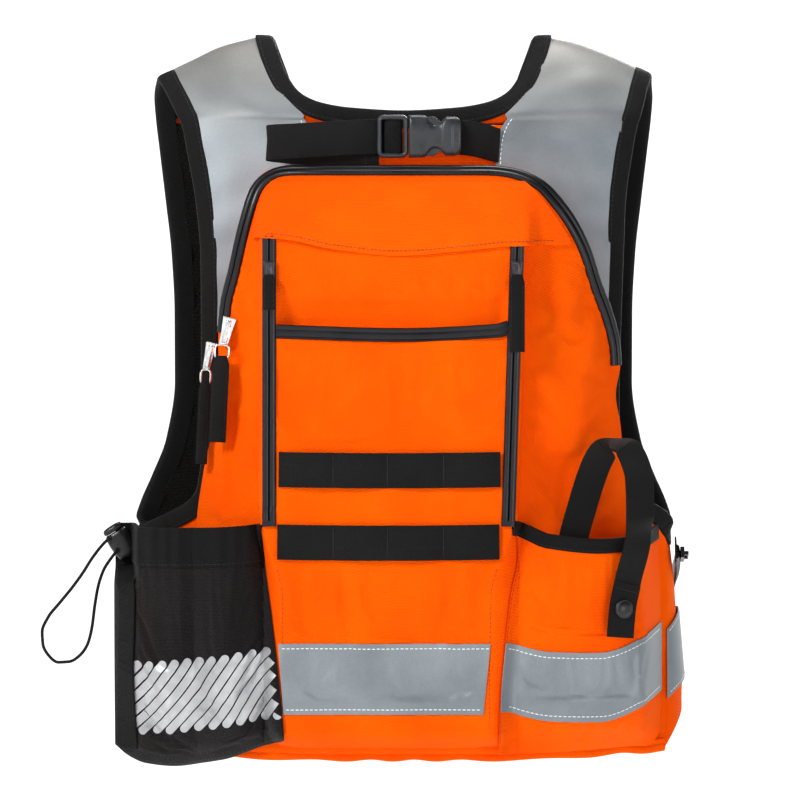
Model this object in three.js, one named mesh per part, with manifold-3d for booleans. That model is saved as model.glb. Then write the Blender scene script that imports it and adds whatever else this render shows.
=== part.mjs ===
// A hi-vis backpack vest: an orange vest with a slim zipped pack and pockets on the wearer's back.
//
// Frame: the wearer's back faces -Y, +X is to the right of someone looking at that back, +Z is up.
// The origin is the middle of the line over the two shoulder tops, where the vest hangs.
// Lengths are in millimetres. Every soft piece is a closed layer with a small gap to its neighbours.

import * as THREE from "three";
import { mergeVertices } from "three/addons/utils/BufferGeometryUtils.js";
import Module from "manifold-3d";

const wasm = await Module();
wasm.setup();

// ---- Driving dimensions ----

const GAP = 0.8; // between two layers that are sewn together
const SNUG = 0.35; // between hard pieces, and between flat pieces on a flat face
const PANEL = 3; // outer shell of the vest with its foam
const LINING = 3.2; // spacer mesh inside the vest
const FABRIC = 1.4; // a single pocket wall
const TAPE = 0.9; // reflective tape
const WEB = 1.7; // narrow webbing
const BINDING = [2, 10.5]; // across a bound edge, from the cut edge outwards
const TAPE_WIDTH = 50;
const LOAD_WEB = 25; // height of a load-webbing row

const NECK_Z = -65; // where the back panel ends and the shoulder yokes begin
const HEM_BACK = -517;
const HEM_FRONT = -498;
const SIDE_X = 190; // side seams
const SIDE_BULGE = through([-363, 3], [-400, 8], [-466, 14]); // of the side panels, down the side
const SIDE_TOP = -363;
const ZIP_HALF = 7; // half the gap between the two front panels, filled by the front zip

const PACK_TOP = -94.5;
const POCKET_TOP = -158; // centre pocket, middle of its top edge
const POCKET_BOTTOM = -508;
const POCKET_PLANE = 120; // depth of the centre pocket's flat front at its top
const POCKET_LEAN = 12 / 350; // how much further out it stands for each millimetre down

const SNAP = { x: 153.5, z: -409.5 }; // where the stud is riveted to the right pocket
const CORD_RADIUS = 1.1;

const COLOURS = {
  orange: [0xff5a0a, 0.85, 0],
  tape: [0x9aa3aa, 0.45, 0.1],
  black: [0x1c1a1b, 0.9, 0],
  mesh: [0x17130f, 0.95, 0],
  coated: [0x37343a, 0.35, 0],
  plastic: [0x24272a, 0.5, 0],
  chrome: [0xd8dadd, 0.15, 1],
};

const group = new THREE.Group();

// ---- Curves and solids ----

const vector = (x, y, z) => new THREE.Vector3(x, y, z);
const mix = THREE.MathUtils.lerp;
const value = (edge, t) => (typeof edge === "function" ? edge(t) : edge);

// A curve through [position, value] pairs that never overshoots them, level beyond its ends.
function through(...pairs) {
  const knots = [...pairs].sort((a, b) => a[0] - b[0]);
  const secants = knots.slice(1).map(([x, y], i) => (y - knots[i][1]) / (x - knots[i][0]));
  const slope = (i) => {
    const before = secants[i - 1] ?? secants[i];
    const after = secants[i] ?? secants[i - 1];
    return before * after > 0 ? (2 * before * after) / (before + after) : 0;
  };
  return (x) => {
    if (x <= knots[0][0]) return knots[0][1];
    if (x >= knots.at(-1)[0]) return knots.at(-1)[1];
    const i = knots.findIndex(([end]) => x < end) - 1;
    const span = knots[i + 1][0] - knots[i][0];
    const t = (x - knots[i][0]) / span;
    const ease = t * t * (3 - 2 * t);
    const bend = span * t * (1 - t) * ((1 - t) * slope(i) - t * slope(i + 1));
    return mix(knots[i][1], knots[i + 1][1], ease) + bend;
  };
}

// Adds a named piece in one of the vest's colours.
function add(name, geometry, [colour, roughness, metalness], parent = group) {
  const material = new THREE.MeshStandardMaterial({ color: colour, roughness, metalness });
  const mesh = new THREE.Mesh(geometry, material);
  mesh.name = name;
  parent.add(mesh);
  return mesh;
}

// Joins two equal grids of points, an outer face and an inner one, into one closed solid.
// A closed one is a ring, whose last row meets its first.
function slab(outer, inner, closed = false) {
  const rows = outer.length;
  const columns = outer[0].length;
  const at = (face, row, column) => (face * rows + (row % rows)) * columns + column;
  const faces = [];
  const quad = (a, b, c, d) => faces.push(a, b, c, a, c, d);
  for (let r = 0; r < (closed ? rows : rows - 1); r++) {
    for (let c = 0; c < columns - 1; c++) {
      quad(at(0, r, c), at(0, r, c + 1), at(0, r + 1, c + 1), at(0, r + 1, c));
      quad(at(1, r, c), at(1, r + 1, c), at(1, r + 1, c + 1), at(1, r, c + 1));
    }
    const last = columns - 1;
    quad(at(0, r, 0), at(0, r + 1, 0), at(1, r + 1, 0), at(1, r, 0));
    quad(at(0, r, last), at(1, r, last), at(1, r + 1, last), at(0, r + 1, last));
  }
  for (let c = 0; c < columns - 1 && !closed; c++) {
    const end = rows - 1;
    quad(at(0, 0, c), at(1, 0, c), at(1, 0, c + 1), at(0, 0, c + 1));
    quad(at(0, end, c), at(0, end, c + 1), at(1, end, c + 1), at(1, end, c));
  }
  const points = [...outer.flat(), ...inner.flat()];
  const volume = (k) =>
    points[faces[k]].dot(points[faces[k + 1]].clone().cross(points[faces[k + 2]]));
  let total = 0;
  for (let k = 0; k < faces.length; k += 3) total += volume(k);
  if (total < 0) faces.reverse();
  const geometry = new THREE.BufferGeometry().setFromPoints(points);
  geometry.setIndex(faces);
  geometry.computeVertexNormals();
  return geometry;
}

// A layer over a four-sided outline in x and z. left and right give x at a height, top and bottom
// give z at an x, and outer and inner turn (x, z) into a point on each face.
function patch({ left, right, high, low, top = high, bottom = low, columns, rows, outer, inner }) {
  const grid = (face) =>
    Array.from({ length: rows + 1 }, (_, r) =>
      Array.from({ length: columns + 1 }, (_, c) => {
        const height = mix(high, low, r / rows);
        const x = mix(value(left, height), value(right, height), c / columns);
        return face(x, mix(value(top, x), value(bottom, x), r / rows));
      }),
    );
  return slab(grid(outer), grid(inner));
}

// The point at (x, z) on a surface y(x, z), lifted off it; outward is -1 on the back, 1 on the front.
function lifted(surface, lift, outward = -1) {
  const step = 0.5;
  return (x, z) => {
    const slopeX = (surface(x + step, z) - surface(x - step, z)) / (2 * step);
    const slopeZ = (surface(x, z + step) - surface(x, z - step)) / (2 * step);
    const normal = vector(-slopeX, 1, -slopeZ).normalize().multiplyScalar(outward);
    return vector(x, surface(x, z), z).addScaledVector(normal, lift);
  };
}

// The point at (x, z) moved straight out of a surface towards the viewer of the back.
const ahead = (surface, distance) => (x, z) => vector(x, surface(x, z) - distance, z);

// Points with normals along a path of [x, z] pairs on a surface.
function pathOn(surface, path, steps, outward = -1) {
  const curve = new THREE.CatmullRomCurve3(path.map(([x, z]) => vector(x, 0, z)));
  return curve.getSpacedPoints(steps).map(({ x, z }) => {
    const point = lifted(surface, 0, outward)(x, z);
    return { point, normal: lifted(surface, 1, outward)(x, z).sub(point) };
  });
}

// Points with normals along a path in space, given as [x, y, z, normal] entries.
function pathThrough(entries, steps, closed = false) {
  const points = new THREE.CatmullRomCurve3(entries.map(([x, y, z]) => vector(x, y, z)), closed);
  const normals = new THREE.CatmullRomCurve3(entries.map((entry) => entry[3]), closed);
  return Array.from({ length: closed ? steps : steps + 1 }, (_, i) => ({
    point: points.getPoint(i / steps),
    normal: normals.getPoint(i / steps).normalize(),
  }));
}

// A band along a path: across gives its two edges beside the path, lift its two faces off it.
function band(path, across, lift, closed = false) {
  const count = path.length;
  const neighbour = (i) => path[closed ? (i + count) % count : THREE.MathUtils.clamp(i, 0, count - 1)];
  const face = (height) =>
    path.map(({ point, normal }, i) => {
      const along = neighbour(i + 1).point.clone().sub(neighbour(i - 1).point);
      const side = along.cross(normal).normalize();
      return across.map((offset) =>
        point.clone().addScaledVector(side, offset).addScaledVector(normal, height),
      );
    });
  return slab(face(lift[1]), face(lift[0]), closed);
}

const centred = (width) => [-width / 2, width / 2];

// ---- Joining and cutting hard pieces ----

function solid(geometry) {
  const bare = geometry.clone();
  bare.deleteAttribute("normal");
  bare.deleteAttribute("uv");
  const merged = mergeVertices(bare, 1e-4);
  return new wasm.Manifold(
    new wasm.Mesh({
      numProp: 3,
      vertProperties: merged.attributes.position.array,
      triVerts: new Uint32Array(merged.index.array),
    }),
  );
}

function geometryOf(made) {
  const mesh = made.getMesh();
  const geometry = new THREE.BufferGeometry();
  geometry.setAttribute("position", new THREE.BufferAttribute(mesh.vertProperties, 3));
  geometry.setIndex(new THREE.BufferAttribute(mesh.triVerts, 1));
  geometry.computeVertexNormals();
  return geometry;
}

// A block given by its middle and its size.
function block([x, y, z], [width, depth, height]) {
  return new THREE.BoxGeometry(width, depth, height).translate(x, y, z);
}

// An outline of [x, z] points, extruded along Y from y to y + depth.
function plate(outline, y, depth) {
  const shape = new THREE.Shape(outline.map(([x, z]) => new THREE.Vector2(x, z)));
  const geometry = new THREE.ExtrudeGeometry(shape, { depth, bevelEnabled: false });
  return geometry.rotateX(Math.PI / 2).translate(0, y + depth, 0);
}

// A ring or disc turned about the Y axis, from [radius, y] points; its open side faces -Y.
function turned(profile, segments = 20) {
  return new THREE.LatheGeometry(
    profile.map(([radius, y]) => new THREE.Vector2(radius, y)).reverse(),
    segments,
  );
}

// ---- The shape of the vest ----

const backDepth = through(
  [-57, 54], [-80, 65], [-100, 71], [-150, 80], [-200, 84], [-300, 83], [-400, 78], [-517, 82],
);
const backRound = through([-57, 0.0006], [-100, 0.001], [-200, 0.0012]);
const backY = (x, z) => backRound(z) * x * x - backDepth(z);

const frontDepth = through([-60, 58], [-120, 80], [-180, 92], [-300, 97], [-400, 96], [-500, 92]);
const frontRound = through([-60, 0.0008], [-150, 0.0013], [-300, 0.0016]);
const frontY = (x, z) => frontDepth(z) - frontRound(z) * x * x;

// Edges of the back panel, where it is bound round the armholes and sewn at the side seams.
const backLeft = through(
  [-65, -149.5], [-76, -147.5], [-105, -142.5], [-147, -136.5], [-211, -136], [-300, -136],
  [-325, -142], [-343, -160], [-357, -186], [-370, -SIDE_X], [-517, -SIDE_X],
);
const backRight = through(
  [-65, 158.5], [-90, 154.5], [-120, 150.5], [-174, 148.5], [-260, 146], [-300, 147], [-322, 152],
  [-342, 167], [-356, 187], [-370, SIDE_X], [-517, SIDE_X],
);
const frontArm = through(
  [-62, 171], [-120, 165], [-160, 161], [-211, 159], [-259, 159], [-305, 167], [-340, 182],
  [-356, 188], [-370, SIDE_X], [-500, SIDE_X],
);
const frontOpening = through(
  [-62, 84], [-85, 66], [-125, 40], [-165, 15], [-182, ZIP_HALF], [-500, ZIP_HALF],
);

// ---- Vest body ----

function addBackPanel() {
  const outline = { left: backLeft, right: backRight, high: NECK_Z - GAP, low: HEM_BACK };
  const outer = { outer: lifted(backY, 0), inner: lifted(backY, -PANEL) };
  add("back_panel", patch({ ...outline, columns: 10, rows: 26, ...outer }), COLOURS.orange);
  const lining = {
    left: (z) => backLeft(z) + 6,
    right: (z) => backRight(z) - 6,
    high: NECK_Z - 8,
    low: HEM_BACK + 6,
    outer: lifted(backY, -PANEL - 2 * GAP),
    inner: lifted(backY, -PANEL - 2 * GAP - LINING),
  };
  add("back_lining", patch({ ...lining, columns: 8, rows: 14 }), COLOURS.mesh);
}

function addFrontPanel(name, side) {
  const arm = (inset) => (z) => side * (frontArm(z) - inset);
  const opening = (inset) => (z) => side * (frontOpening(z) + inset);
  const shell = {
    left: arm(0),
    right: opening(0),
    high: NECK_Z + 2,
    low: HEM_FRONT,
    outer: lifted(frontY, 0, 1),
    inner: lifted(frontY, -PANEL, 1),
  };
  add("front_panel_" + name, patch({ ...shell, columns: 6, rows: 17 }), COLOURS.orange);
  const lining = {
    left: arm(6),
    right: opening(6),
    high: NECK_Z - 6,
    low: HEM_FRONT + 6,
    outer: lifted(frontY, -PANEL - 2 * GAP, 1),
    inner: lifted(frontY, -PANEL - 2 * GAP - LINING, 1),
  };
  add("front_lining_" + name, patch({ ...lining, columns: 5, rows: 12 }), COLOURS.mesh);
}

// The hem and the waist band rise over the hip.
const HEM_RISE = 18;
const BAND_RISE = 12;

// The side panel wraps from the back seam to the front seam; turn runs from 0 at the back to 1.
function sidePoint(side, turn, z, lift = 0) {
  const back = backY(SIDE_X, z);
  const front = frontY(SIDE_X, z);
  const angle = (turn - 0.5) * Math.PI;
  const x = SIDE_X + 1.2 + (SIDE_BULGE(z) + lift) * Math.cos(angle);
  const y = (back + front) / 2 + ((front - back) / 2 + lift) * Math.sin(angle);
  return vector(side * x, y, z);
}

const sideTop = (turn) => SIDE_TOP - 6 * Math.sin(turn * Math.PI);
const sideHem = (turn) => mix(HEM_BACK, HEM_FRONT, turn) + HEM_RISE * Math.sin(turn * Math.PI);

function sideLayer(side, from, to, top, bottom, lift, columns, rows) {
  const grid = (height) =>
    Array.from({ length: rows + 1 }, (_, r) =>
      Array.from({ length: columns + 1 }, (_, c) => {
        const turn = mix(from, to, c / columns);
        return sidePoint(side, turn, mix(value(top, turn), value(bottom, turn), r / rows), height);
      }),
    );
  return [grid(lift[1]), grid(lift[0])];
}

function addSidePanel(name, side) {
  const faces = sideLayer(side, 0, 1, sideTop, sideHem, [-PANEL, 0], 8, 6);
  add("side_panel_" + name, slab(...faces), COLOURS.orange);
}

// ---- Shoulder yokes ----

// Rails of a yoke from the back, over the shoulder top, to the front: [x, y, z], x from the middle.
const NECK_RAIL = [
  [3, -58, NECK_Z], [38, -56, -63], [62, -53, -59], [84, -43, -47], [97, -27, -26],
  [104.5, 0, -3], [102, 28, -12], [95, 44, -32], [84, 52, -62],
];
const LEFT_ARM_RAIL = [
  [149.5, -43, NECK_Z], [151, -41, -61], [153, -38, -57], [157, -31, -49], [163, -18, -38],
  [169, 0, -29], [171, 14, -34], [172, 25, -45], [171, 34, -62],
];
const RIGHT_ARM_RAIL = [
  [158.5, -41, NECK_Z], [160, -39, -61], [161.5, -37, -57], [164, -30, -48], [167.5, -18, -36],
  [171, 0, -27], [171.5, 14, -34], [172, 25, -45], [171, 34, -62],
];
const YOKE_CROWN = 3;
// Which way a yoke faces along its length: 0 degrees is backwards, 90 up and 180 forwards.
const yokeTurn = through([0, 20], [0.25, 25], [0.45, 45], [0.6, 85], [0.75, 130], [1, 165]);

function yokeOf(side) {
  const rail = (points) => new THREE.CatmullRomCurve3(points.map(([x, y, z]) => vector(side * x, y, z)));
  const neck = rail(NECK_RAIL);
  const arm = rail(side < 0 ? LEFT_ARM_RAIL : RIGHT_ARM_RAIL);
  const flat = (s, t) => neck.getPoint(t).lerp(arm.getPoint(t), s);
  return (s, t, lift) => {
    const turn = THREE.MathUtils.degToRad(yokeTurn(t));
    const normal = vector(side * 0.25 * Math.sin(turn), -Math.cos(turn), Math.sin(turn)).normalize();
    return flat(s, t).addScaledVector(normal, lift + YOKE_CROWN * 4 * s * (1 - s));
  };
}

function yokeRows(yoke, from, to, start, end, lift, columns, rows) {
  return Array.from({ length: rows + 1 }, (_, r) =>
    Array.from({ length: columns + 1 }, (_, c) => {
      const t = mix(start, end, r / rows);
      return yoke(mix(value(from, t), value(to, t), c / columns), t, lift);
    }),
  );
}

function addYoke(name, side) {
  const yoke = yokeOf(side);
  const faces = [0, -PANEL].map((lift) => yokeRows(yoke, 0, 1, 0, 1, lift, 4, 16));
  add("shoulder_" + name, slab(...faces), COLOURS.orange);
}

// Reflective tape over the whole shoulder. On the back it narrows to a point beside the pack, on
// the front it runs down to the waist band.
const tapeBackInner = through([-66, 69], [-99, 64], [-130, 82], [-180, 113], [-210, 133]);
const tapeYokeInner = through([0, 0.455], [0.125, 0.3], [0.25, 0.11], [0.36, 0.012]);
const tapeFrontInner = through([-64, 86], [-120, 100], [-170, 104]);
const tapeFrontOuter = through([-64, 169], [-110, 158], [-170, 154]);
const SHOULDER_TAPE_END = -424;

function addShoulderTape(name, side) {
  const yoke = yokeOf(side);
  const edge = side < 0 ? (z) => -backLeft(z) : backRight;
  const columns = 3;
  const flatRows = (surface, outward, inner, outer, start, end, count, lift) =>
    Array.from({ length: count + 1 }, (_, r) => {
      const z = mix(start, end, r / count);
      const place = lifted(surface, lift, outward);
      return Array.from({ length: columns + 1 }, (_, c) => {
        const x = mix(inner(z), outer(z), c / columns);
        return place(side * x, z);
      });
    });
  const spread = side < 0 ? 0 : 11;
  const reach = (z) => tapeBackInner(z) + spread * THREE.MathUtils.smoothstep(-z, 66, 200);
  const inner = (z) => Math.min(reach(z), edge(z) - 3);
  const rows = (lift) => [
    ...flatRows(backY, -1, inner, (z) => edge(z) - 1, -210, -67, 8, lift),
    ...yokeRows(yoke, tapeYokeInner, 0.99, 0.015, 0.985, lift, columns, 16),
    ...flatRows(frontY, 1, tapeFrontInner, tapeFrontOuter, -65, SHOULDER_TAPE_END, 12, lift),
  ];
  add("shoulder_reflective_" + name, slab(rows(GAP + TAPE), rows(GAP)), COLOURS.tape);
}

// ---- Bindings ----

const NORMAL_OF_BACK = vector(0, -1, 0.3);
const NORMAL_OF_SHOULDER = vector(0, -0.1, 1);
const NORMAL_OF_FRONT = vector(0, 1, 0.3);

// An entry of a bound edge on one of the two big surfaces.
function edgeOn(surface, outward, x, z) {
  const point = lifted(surface, 0, outward)(x, z);
  const normal = lifted(surface, 1, outward)(x, z).sub(point);
  return [point.x, point.y, point.z, normal];
}

function addNeckBinding() {
  const railEntry = (side, index, normal) => {
    const [x, y, z] = NECK_RAIL[index];
    return [side * x, y, z, normal];
  };
  const half = (side) => [
    railEntry(side, 1, NORMAL_OF_BACK),
    railEntry(side, 2, NORMAL_OF_BACK),
    railEntry(side, 3, vector(side * 0.2, -1, 0.7)),
    railEntry(side, 4, vector(side * 0.3, -0.7, 1)),
    railEntry(side, 5, NORMAL_OF_SHOULDER),
    railEntry(side, 6, vector(side * 0.3, 0.7, 1)),
    railEntry(side, 7, vector(side * 0.2, 1, 0.6)),
    railEntry(side, 8, NORMAL_OF_FRONT),
    ...[-85, -105, -125, -145, -165].map((z) => edgeOn(frontY, 1, side * frontOpening(z), z)),
  ];
  const entries = [...half(-1).reverse(), [0, -58.5, NECK_Z, NORMAL_OF_BACK], ...half(1)];
  const path = pathThrough(entries, 72);
  add("neck_binding", band(path, BINDING.map((offset) => -offset), [-4, 1.2]), COLOURS.black);
}

// Heights at which the armhole binding follows the front edge.
const FRONT_EDGE_AT = [-85, -120, -160, -205, -255, -300, -328, -345, -356];

function addArmholeBinding(name, side) {
  const edge = side < 0 ? backLeft : backRight;
  const rail = side < 0 ? LEFT_ARM_RAIL : RIGHT_ARM_RAIL;
  const normals = [
    vector(side * 0.3, -1, 0.3), vector(side * 0.3, -1, 0.4), vector(side * 0.3, -1, 0.5),
    vector(side * 0.4, -1, 0.8), vector(side * 0.5, -0.6, 1), vector(side * 0.4, 0, 1),
    vector(side * 0.5, 0.6, 1), vector(side * 0.4, 1, 0.8), vector(side * 0.3, 1, 0.3),
  ];
  const entries = [
    ...[-356, -342, -328, -300, -255, -205, -160, -120, -85].map((z) => edgeOn(backY, -1, edge(z), z)),
    ...rail.slice(1).map(([x, y, z], i) => [side * x, y, z, normals[i + 1]]),
    ...FRONT_EDGE_AT.map((z) => edgeOn(frontY, 1, side * frontArm(z), z)),
    ...[0.8, 0.5, 0.2].map((turn) => {
      const point = sidePoint(side, turn, sideTop(turn));
      return [point.x, point.y, point.z, vector(side, 0, 0)];
    }),
  ];
  const path = pathThrough(entries, 76, true);
  const sign = side < 0 ? -1 : 1;
  const offsets = BINDING.map((offset) => sign * offset);
  add("armhole_binding_" + name, band(path, offsets, [-4, 1.2], true), COLOURS.black);
}

// ---- Pack ----

const packDepth = through(
  [-94, 84], [-100, 92], [-112, 102], [-130, 108], [-160, 111.5], [-200, 113], [-300, 115],
  [-400, 114], [-450, 113], [-517, 107],
);
const PACK_MIDDLE = 5;
const PACK_FLAT = 55; // half width of the pack's flat middle
const PACK_EDGE = 5; // least thickness of the pack

function packY(x, z) {
  const beyond = Math.max(0, Math.abs(x - PACK_MIDDLE) - PACK_FLAT);
  return Math.min(0.005 * beyond * beyond - packDepth(z), backY(x, z) - PACK_EDGE);
}

const packLeft = through(
  [PACK_TOP, -84], [-97, -95], [-103, -104], [-123, -113], [-147, -119.5], [-183, -127.5],
  [-205, -132.5], [-259, -133], [-316, -144], [-355, -149], [-517, -150],
);
const packRight = through(
  [PACK_TOP, 64], [-97, 82], [-103, 94], [-112, 105], [-125, 116], [-147, 130], [-179, 141],
  [-198, 148], [-216, 154], [-236, 156], [-259, 152.5], [-281, 156], [-330, 160], [-400, 164],
  [-517, 164],
);
const PACK_BACK_LIFT = 3;
const COATED_ZIP = 10; // width of the coated zips
const ZIP_INSET = 5.5; // from the pack's edge to the middle of its zip

// The U-shaped zip, from the parked sliders on the left, over the top, down to the right armhole.
function packZipPath() {
  const left = [-212, -195, -170, -145, -123, -110];
  const right = [-108, -120, -135, -155, -179, -205, -225, -238];
  const top = PACK_TOP - ZIP_INSET;
  return [
    ...left.map((z) => [packLeft(z) + ZIP_INSET, z]),
    [-91, top - 1.5], [-80, top], [-10, top], [60, top], [76, top - 1.5],
    ...right.map((z) => [packRight(z) - ZIP_INSET, z]),
  ];
}

function addPack() {
  const body = {
    left: packLeft,
    right: packRight,
    high: PACK_TOP,
    low: HEM_BACK,
    outer: ahead(packY, 0),
    inner: ahead(backY, PACK_BACK_LIFT),
  };
  add("pack_body", patch({ ...body, columns: 14, rows: 30 }), COLOURS.orange);
  const path = pathOn(packY, packZipPath(), 56);
  add("pack_zip", band(path, centred(COATED_ZIP - 1), [GAP, GAP + 1.6]), COLOURS.coated);
}

const flapHem = through(
  [-110, -144], [-85, -145.5], [-50, -152.5], [-3, -157], [40, -154], [76, -150.5], [120, -150],
);
const FLAP_INSET = 2 * ZIP_INSET + 2.5; // from the pack's edge to the edge of its storm flap

function addStormFlap() {
  const flap = {
    left: (z) => packLeft(z) + FLAP_INSET,
    right: (z) => packRight(z) - FLAP_INSET,
    high: PACK_TOP - FLAP_INSET,
    low: -150,
    bottom: flapHem,
    outer: ahead(packY, 1.5 * GAP + FABRIC),
    inner: ahead(packY, 1.5 * GAP),
  };
  add("storm_flap", patch({ ...flap, columns: 14, rows: 5 }), COLOURS.orange);
}

// ---- Centre pocket ----

const planeY = (x, z) => POCKET_LEAN * (z - POCKET_TOP) - POCKET_PLANE;
const pocketLeft = through([-350, -104], [-380, -100], [-508, -98.5]);
const pocketRight = through([-158, 88], [-300, 84], [-350, 82], [-508, 81]);
const frontLeft = through([-350, -101.5], [-374, -93], [-400, -87], [-508, -87]);
const frontRight = through([-158, 86], [-300, 82], [-346, 79.5], [-374, 69], [-400, 63], [-508, 61.5]);
const CORNER = 14; // radius of the pocket's two bottom corners

const pocketTop = (x) => flapHem(x) - 1.2;
function pocketBottom(x) {
  const inside = Math.min(x - pocketLeft(POCKET_BOTTOM), pocketRight(POCKET_BOTTOM) - x);
  const bend = THREE.MathUtils.clamp(CORNER - inside, 0, CORNER);
  return POCKET_BOTTOM + CORNER - Math.sqrt(CORNER * CORNER - bend * bend);
}

function pocketFace(x, z) {
  const base = packY(x, z) - 2 * GAP - 0.3;
  const left = (x - pocketLeft(z)) / (frontLeft(z) - pocketLeft(z));
  const right = (pocketRight(z) - x) / (pocketRight(z) - frontRight(z));
  const rise = THREE.MathUtils.clamp(Math.min(left, right), 0, 1);
  return vector(x, mix(base, planeY(x, z), rise), z);
}

function addCentrePocket() {
  const rows = 22;
  const across = [0, 0, 1, 2, 3, 4, 5, 6, 7, 8, 8];
  const row = (face, r) =>
    across.map((k, c) => {
      const z = mix(POCKET_TOP, POCKET_BOTTOM, r / rows);
      const edge = c === 0 ? pocketLeft(z) : pocketRight(z);
      const onFront = mix(frontLeft(z), frontRight(z), k / 8);
      const x = c === 0 || c === across.length - 1 ? edge : onFront;
      return face(x, mix(pocketTop(x), pocketBottom(x), r / rows));
    });
  const grid = (face) => Array.from({ length: rows + 1 }, (_, r) => row(face, r));
  const pocket = slab(grid(pocketFace), grid(ahead(packY, GAP)));
  add("centre_pocket", pocket, COLOURS.orange);
}

// Everything on the pocket's flat front sits in this turned group: local x and z along the front,
// local -y out of it, and the group's origin on the front at the pocket's top.
const pocketFront = new THREE.Group();
pocketFront.position.set(0, -POCKET_PLANE, POCKET_TOP);
pocketFront.rotation.x = -Math.atan(POCKET_LEAN);
group.add(pocketFront);

// A block on the pocket front, standing on it between two depths; z is the vest's height.
function onPocket(name, colour, [left, right], [high, low], [near, far]) {
  const middle = [(left + right) / 2, -(near + far) / 2, (high + low) / 2 - POCKET_TOP];
  return add(name, block(middle, [right - left, far - near, high - low]), colour, pocketFront);
}

const LEFT_ZIP_X = -95.5;
const RIGHT_ZIP = { top: 80.5, bottom: 74.5 };
const ZIP_TOP = -160;
const ZIP_BOTTOM = -345;
const SLIDER_TOP = -163;

function addCentreZips() {
  const leftZip = [LEFT_ZIP_X - 4.5, LEFT_ZIP_X + 4.5];
  onPocket("centre_zip_left", COLOURS.coated, leftZip, [ZIP_TOP, ZIP_BOTTOM], [SNUG, SNUG + 1.5]);
  const right = [
    [RIGHT_ZIP.top - 4.5, ZIP_TOP], [RIGHT_ZIP.top + 4.5, ZIP_TOP],
    [RIGHT_ZIP.bottom + 4.5, ZIP_BOTTOM], [RIGHT_ZIP.bottom - 4.5, ZIP_BOTTOM],
  ].map(([x, z]) => [x, z - POCKET_TOP]);
  add("centre_zip_right", plate(right, -SNUG - 1.5, 1.5), COLOURS.coated, pocketFront);
}

function addPocketBands() {
  const mouthLine = through([-89, -206.5], [-3, -209], [66, -206], [74, -203]);
  const mouth = [-89, -60, -30, 0, 30, 60, 74];
  const outline = [
    ...mouth.map((x) => [x, mouthLine(x) - POCKET_TOP]),
    ...mouth.reverse().map((x) => [x, mouthLine(x) - 9.5 - POCKET_TOP]),
  ];
  add("pocket_mouth_band", plate(outline, -SNUG - 1.4, 1.4), COLOURS.coated, pocketFront);
  onPocket("pals_row_upper", COLOURS.black, [-89.5, 68.5], [-297, -297 - LOAD_WEB], [SNUG, SNUG + WEB]);
  onPocket("pals_row_lower", COLOURS.black, [-90.5, 67.5], [-348.5, -348.5 - LOAD_WEB], [SNUG, SNUG + WEB]);
  onPocket("centre_reflective", COLOURS.tape, [-86, 61], [-433.5, -433.5 - TAPE_WIDTH], [SNUG, SNUG + TAPE]);
}

// ---- Zip sliders and their pulls ----

// A slider is a waisted body with a bridge over it. Its middle is the local origin, -y is outwards.
function sliderBody(length, width, height) {
  const half = length / 2;
  const outline = [
    [-width * 0.5, half], [width * 0.5, half], [width * 0.38, 0],
    [width * 0.32, -half], [-width * 0.32, -half], [-width * 0.38, 0],
  ];
  const body = solid(plate(outline, -height, height));
  const bridge = solid(block([0, -height - 1.5, 0], [width * 0.34, 3.2, length * 0.75]));
  const tunnel = solid(block([0, -height - 1, 0], [width, 1.6, length * 0.38]));
  return geometryOf(body.add(bridge).subtract(tunnel));
}

// A pull hangs from the local origin: an eyelet plate and a webbing tab that ends at -length.
function pullTab(length, width, thickness) {
  const eyelet = solid(block([0, 0, -4], [width * 0.55, thickness, 8]));
  const tab = solid(block([0, 0, -7 - (length - 7) / 2], [width, thickness, length - 7]));
  return geometryOf(eyelet.add(tab));
}

// A slider with its pull on a zip. lean turns both in the zip's plane, in degrees.
function addSlider(name, [x, y, z], options) {
  const { lean = 0, length = 18, width = 9, height = 3, colour = COLOURS.chrome, parent = group } = options;
  const slider = add(name + "_slider", sliderBody(length, width, height), colour, parent);
  slider.position.set(x, y, z);
  slider.rotation.y = THREE.MathUtils.degToRad(lean);
}

function addPull(name, [x, y, z], { lean = 0, length, width = 10.5, thickness = 1.8, parent = group }) {
  const pull = add(name + "_pull", pullTab(length, width, thickness), COLOURS.black, parent);
  pull.position.set(x, y, z);
  pull.rotation.y = THREE.MathUtils.degToRad(lean);
}

function addSliders() {
  const upper = { x: -126.5, z: -213 };
  const lower = { x: -139.5, z: -231 };
  const upperY = packY(upper.x, upper.z);
  const lowerY = backY(lower.x, lower.z);
  addSlider("pack_upper", [upper.x, upperY - 5, upper.z], { lean: 14, length: 21, width: 10 });
  addPull("pack_upper", [upper.x - 3, upperY - 13, upper.z - 11], { lean: 3, length: 68, width: 12 });
  addSlider("pack_lower", [lower.x, lowerY - 17, lower.z], { lean: 12, length: 20, width: 8 });
  addPull("pack_lower", [lower.x - 2, lowerY - 23.5, lower.z - 11.5], { lean: 3, length: 66, width: 8.5 });
  const local = (z) => z - POCKET_TOP;
  const small = { length: 13, width: 8.5, parent: pocketFront, colour: COLOURS.coated };
  addSlider("centre_left", [LEFT_ZIP_X, -2.2, local(SLIDER_TOP - 5)], small);
  const ring = local(SLIDER_TOP - 7);
  addPull("centre_left", [LEFT_ZIP_X, -9.6, ring], { length: 26, width: 9, parent: pocketFront });
  addSlider("centre_right", [RIGHT_ZIP.top, -2.2, local(SLIDER_TOP - 5)], small);
  addPull("centre_right", [RIGHT_ZIP.top, -9.6, ring], { length: 56, width: 11, parent: pocketFront });
}

// ---- Right pocket and its snap strap ----

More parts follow.
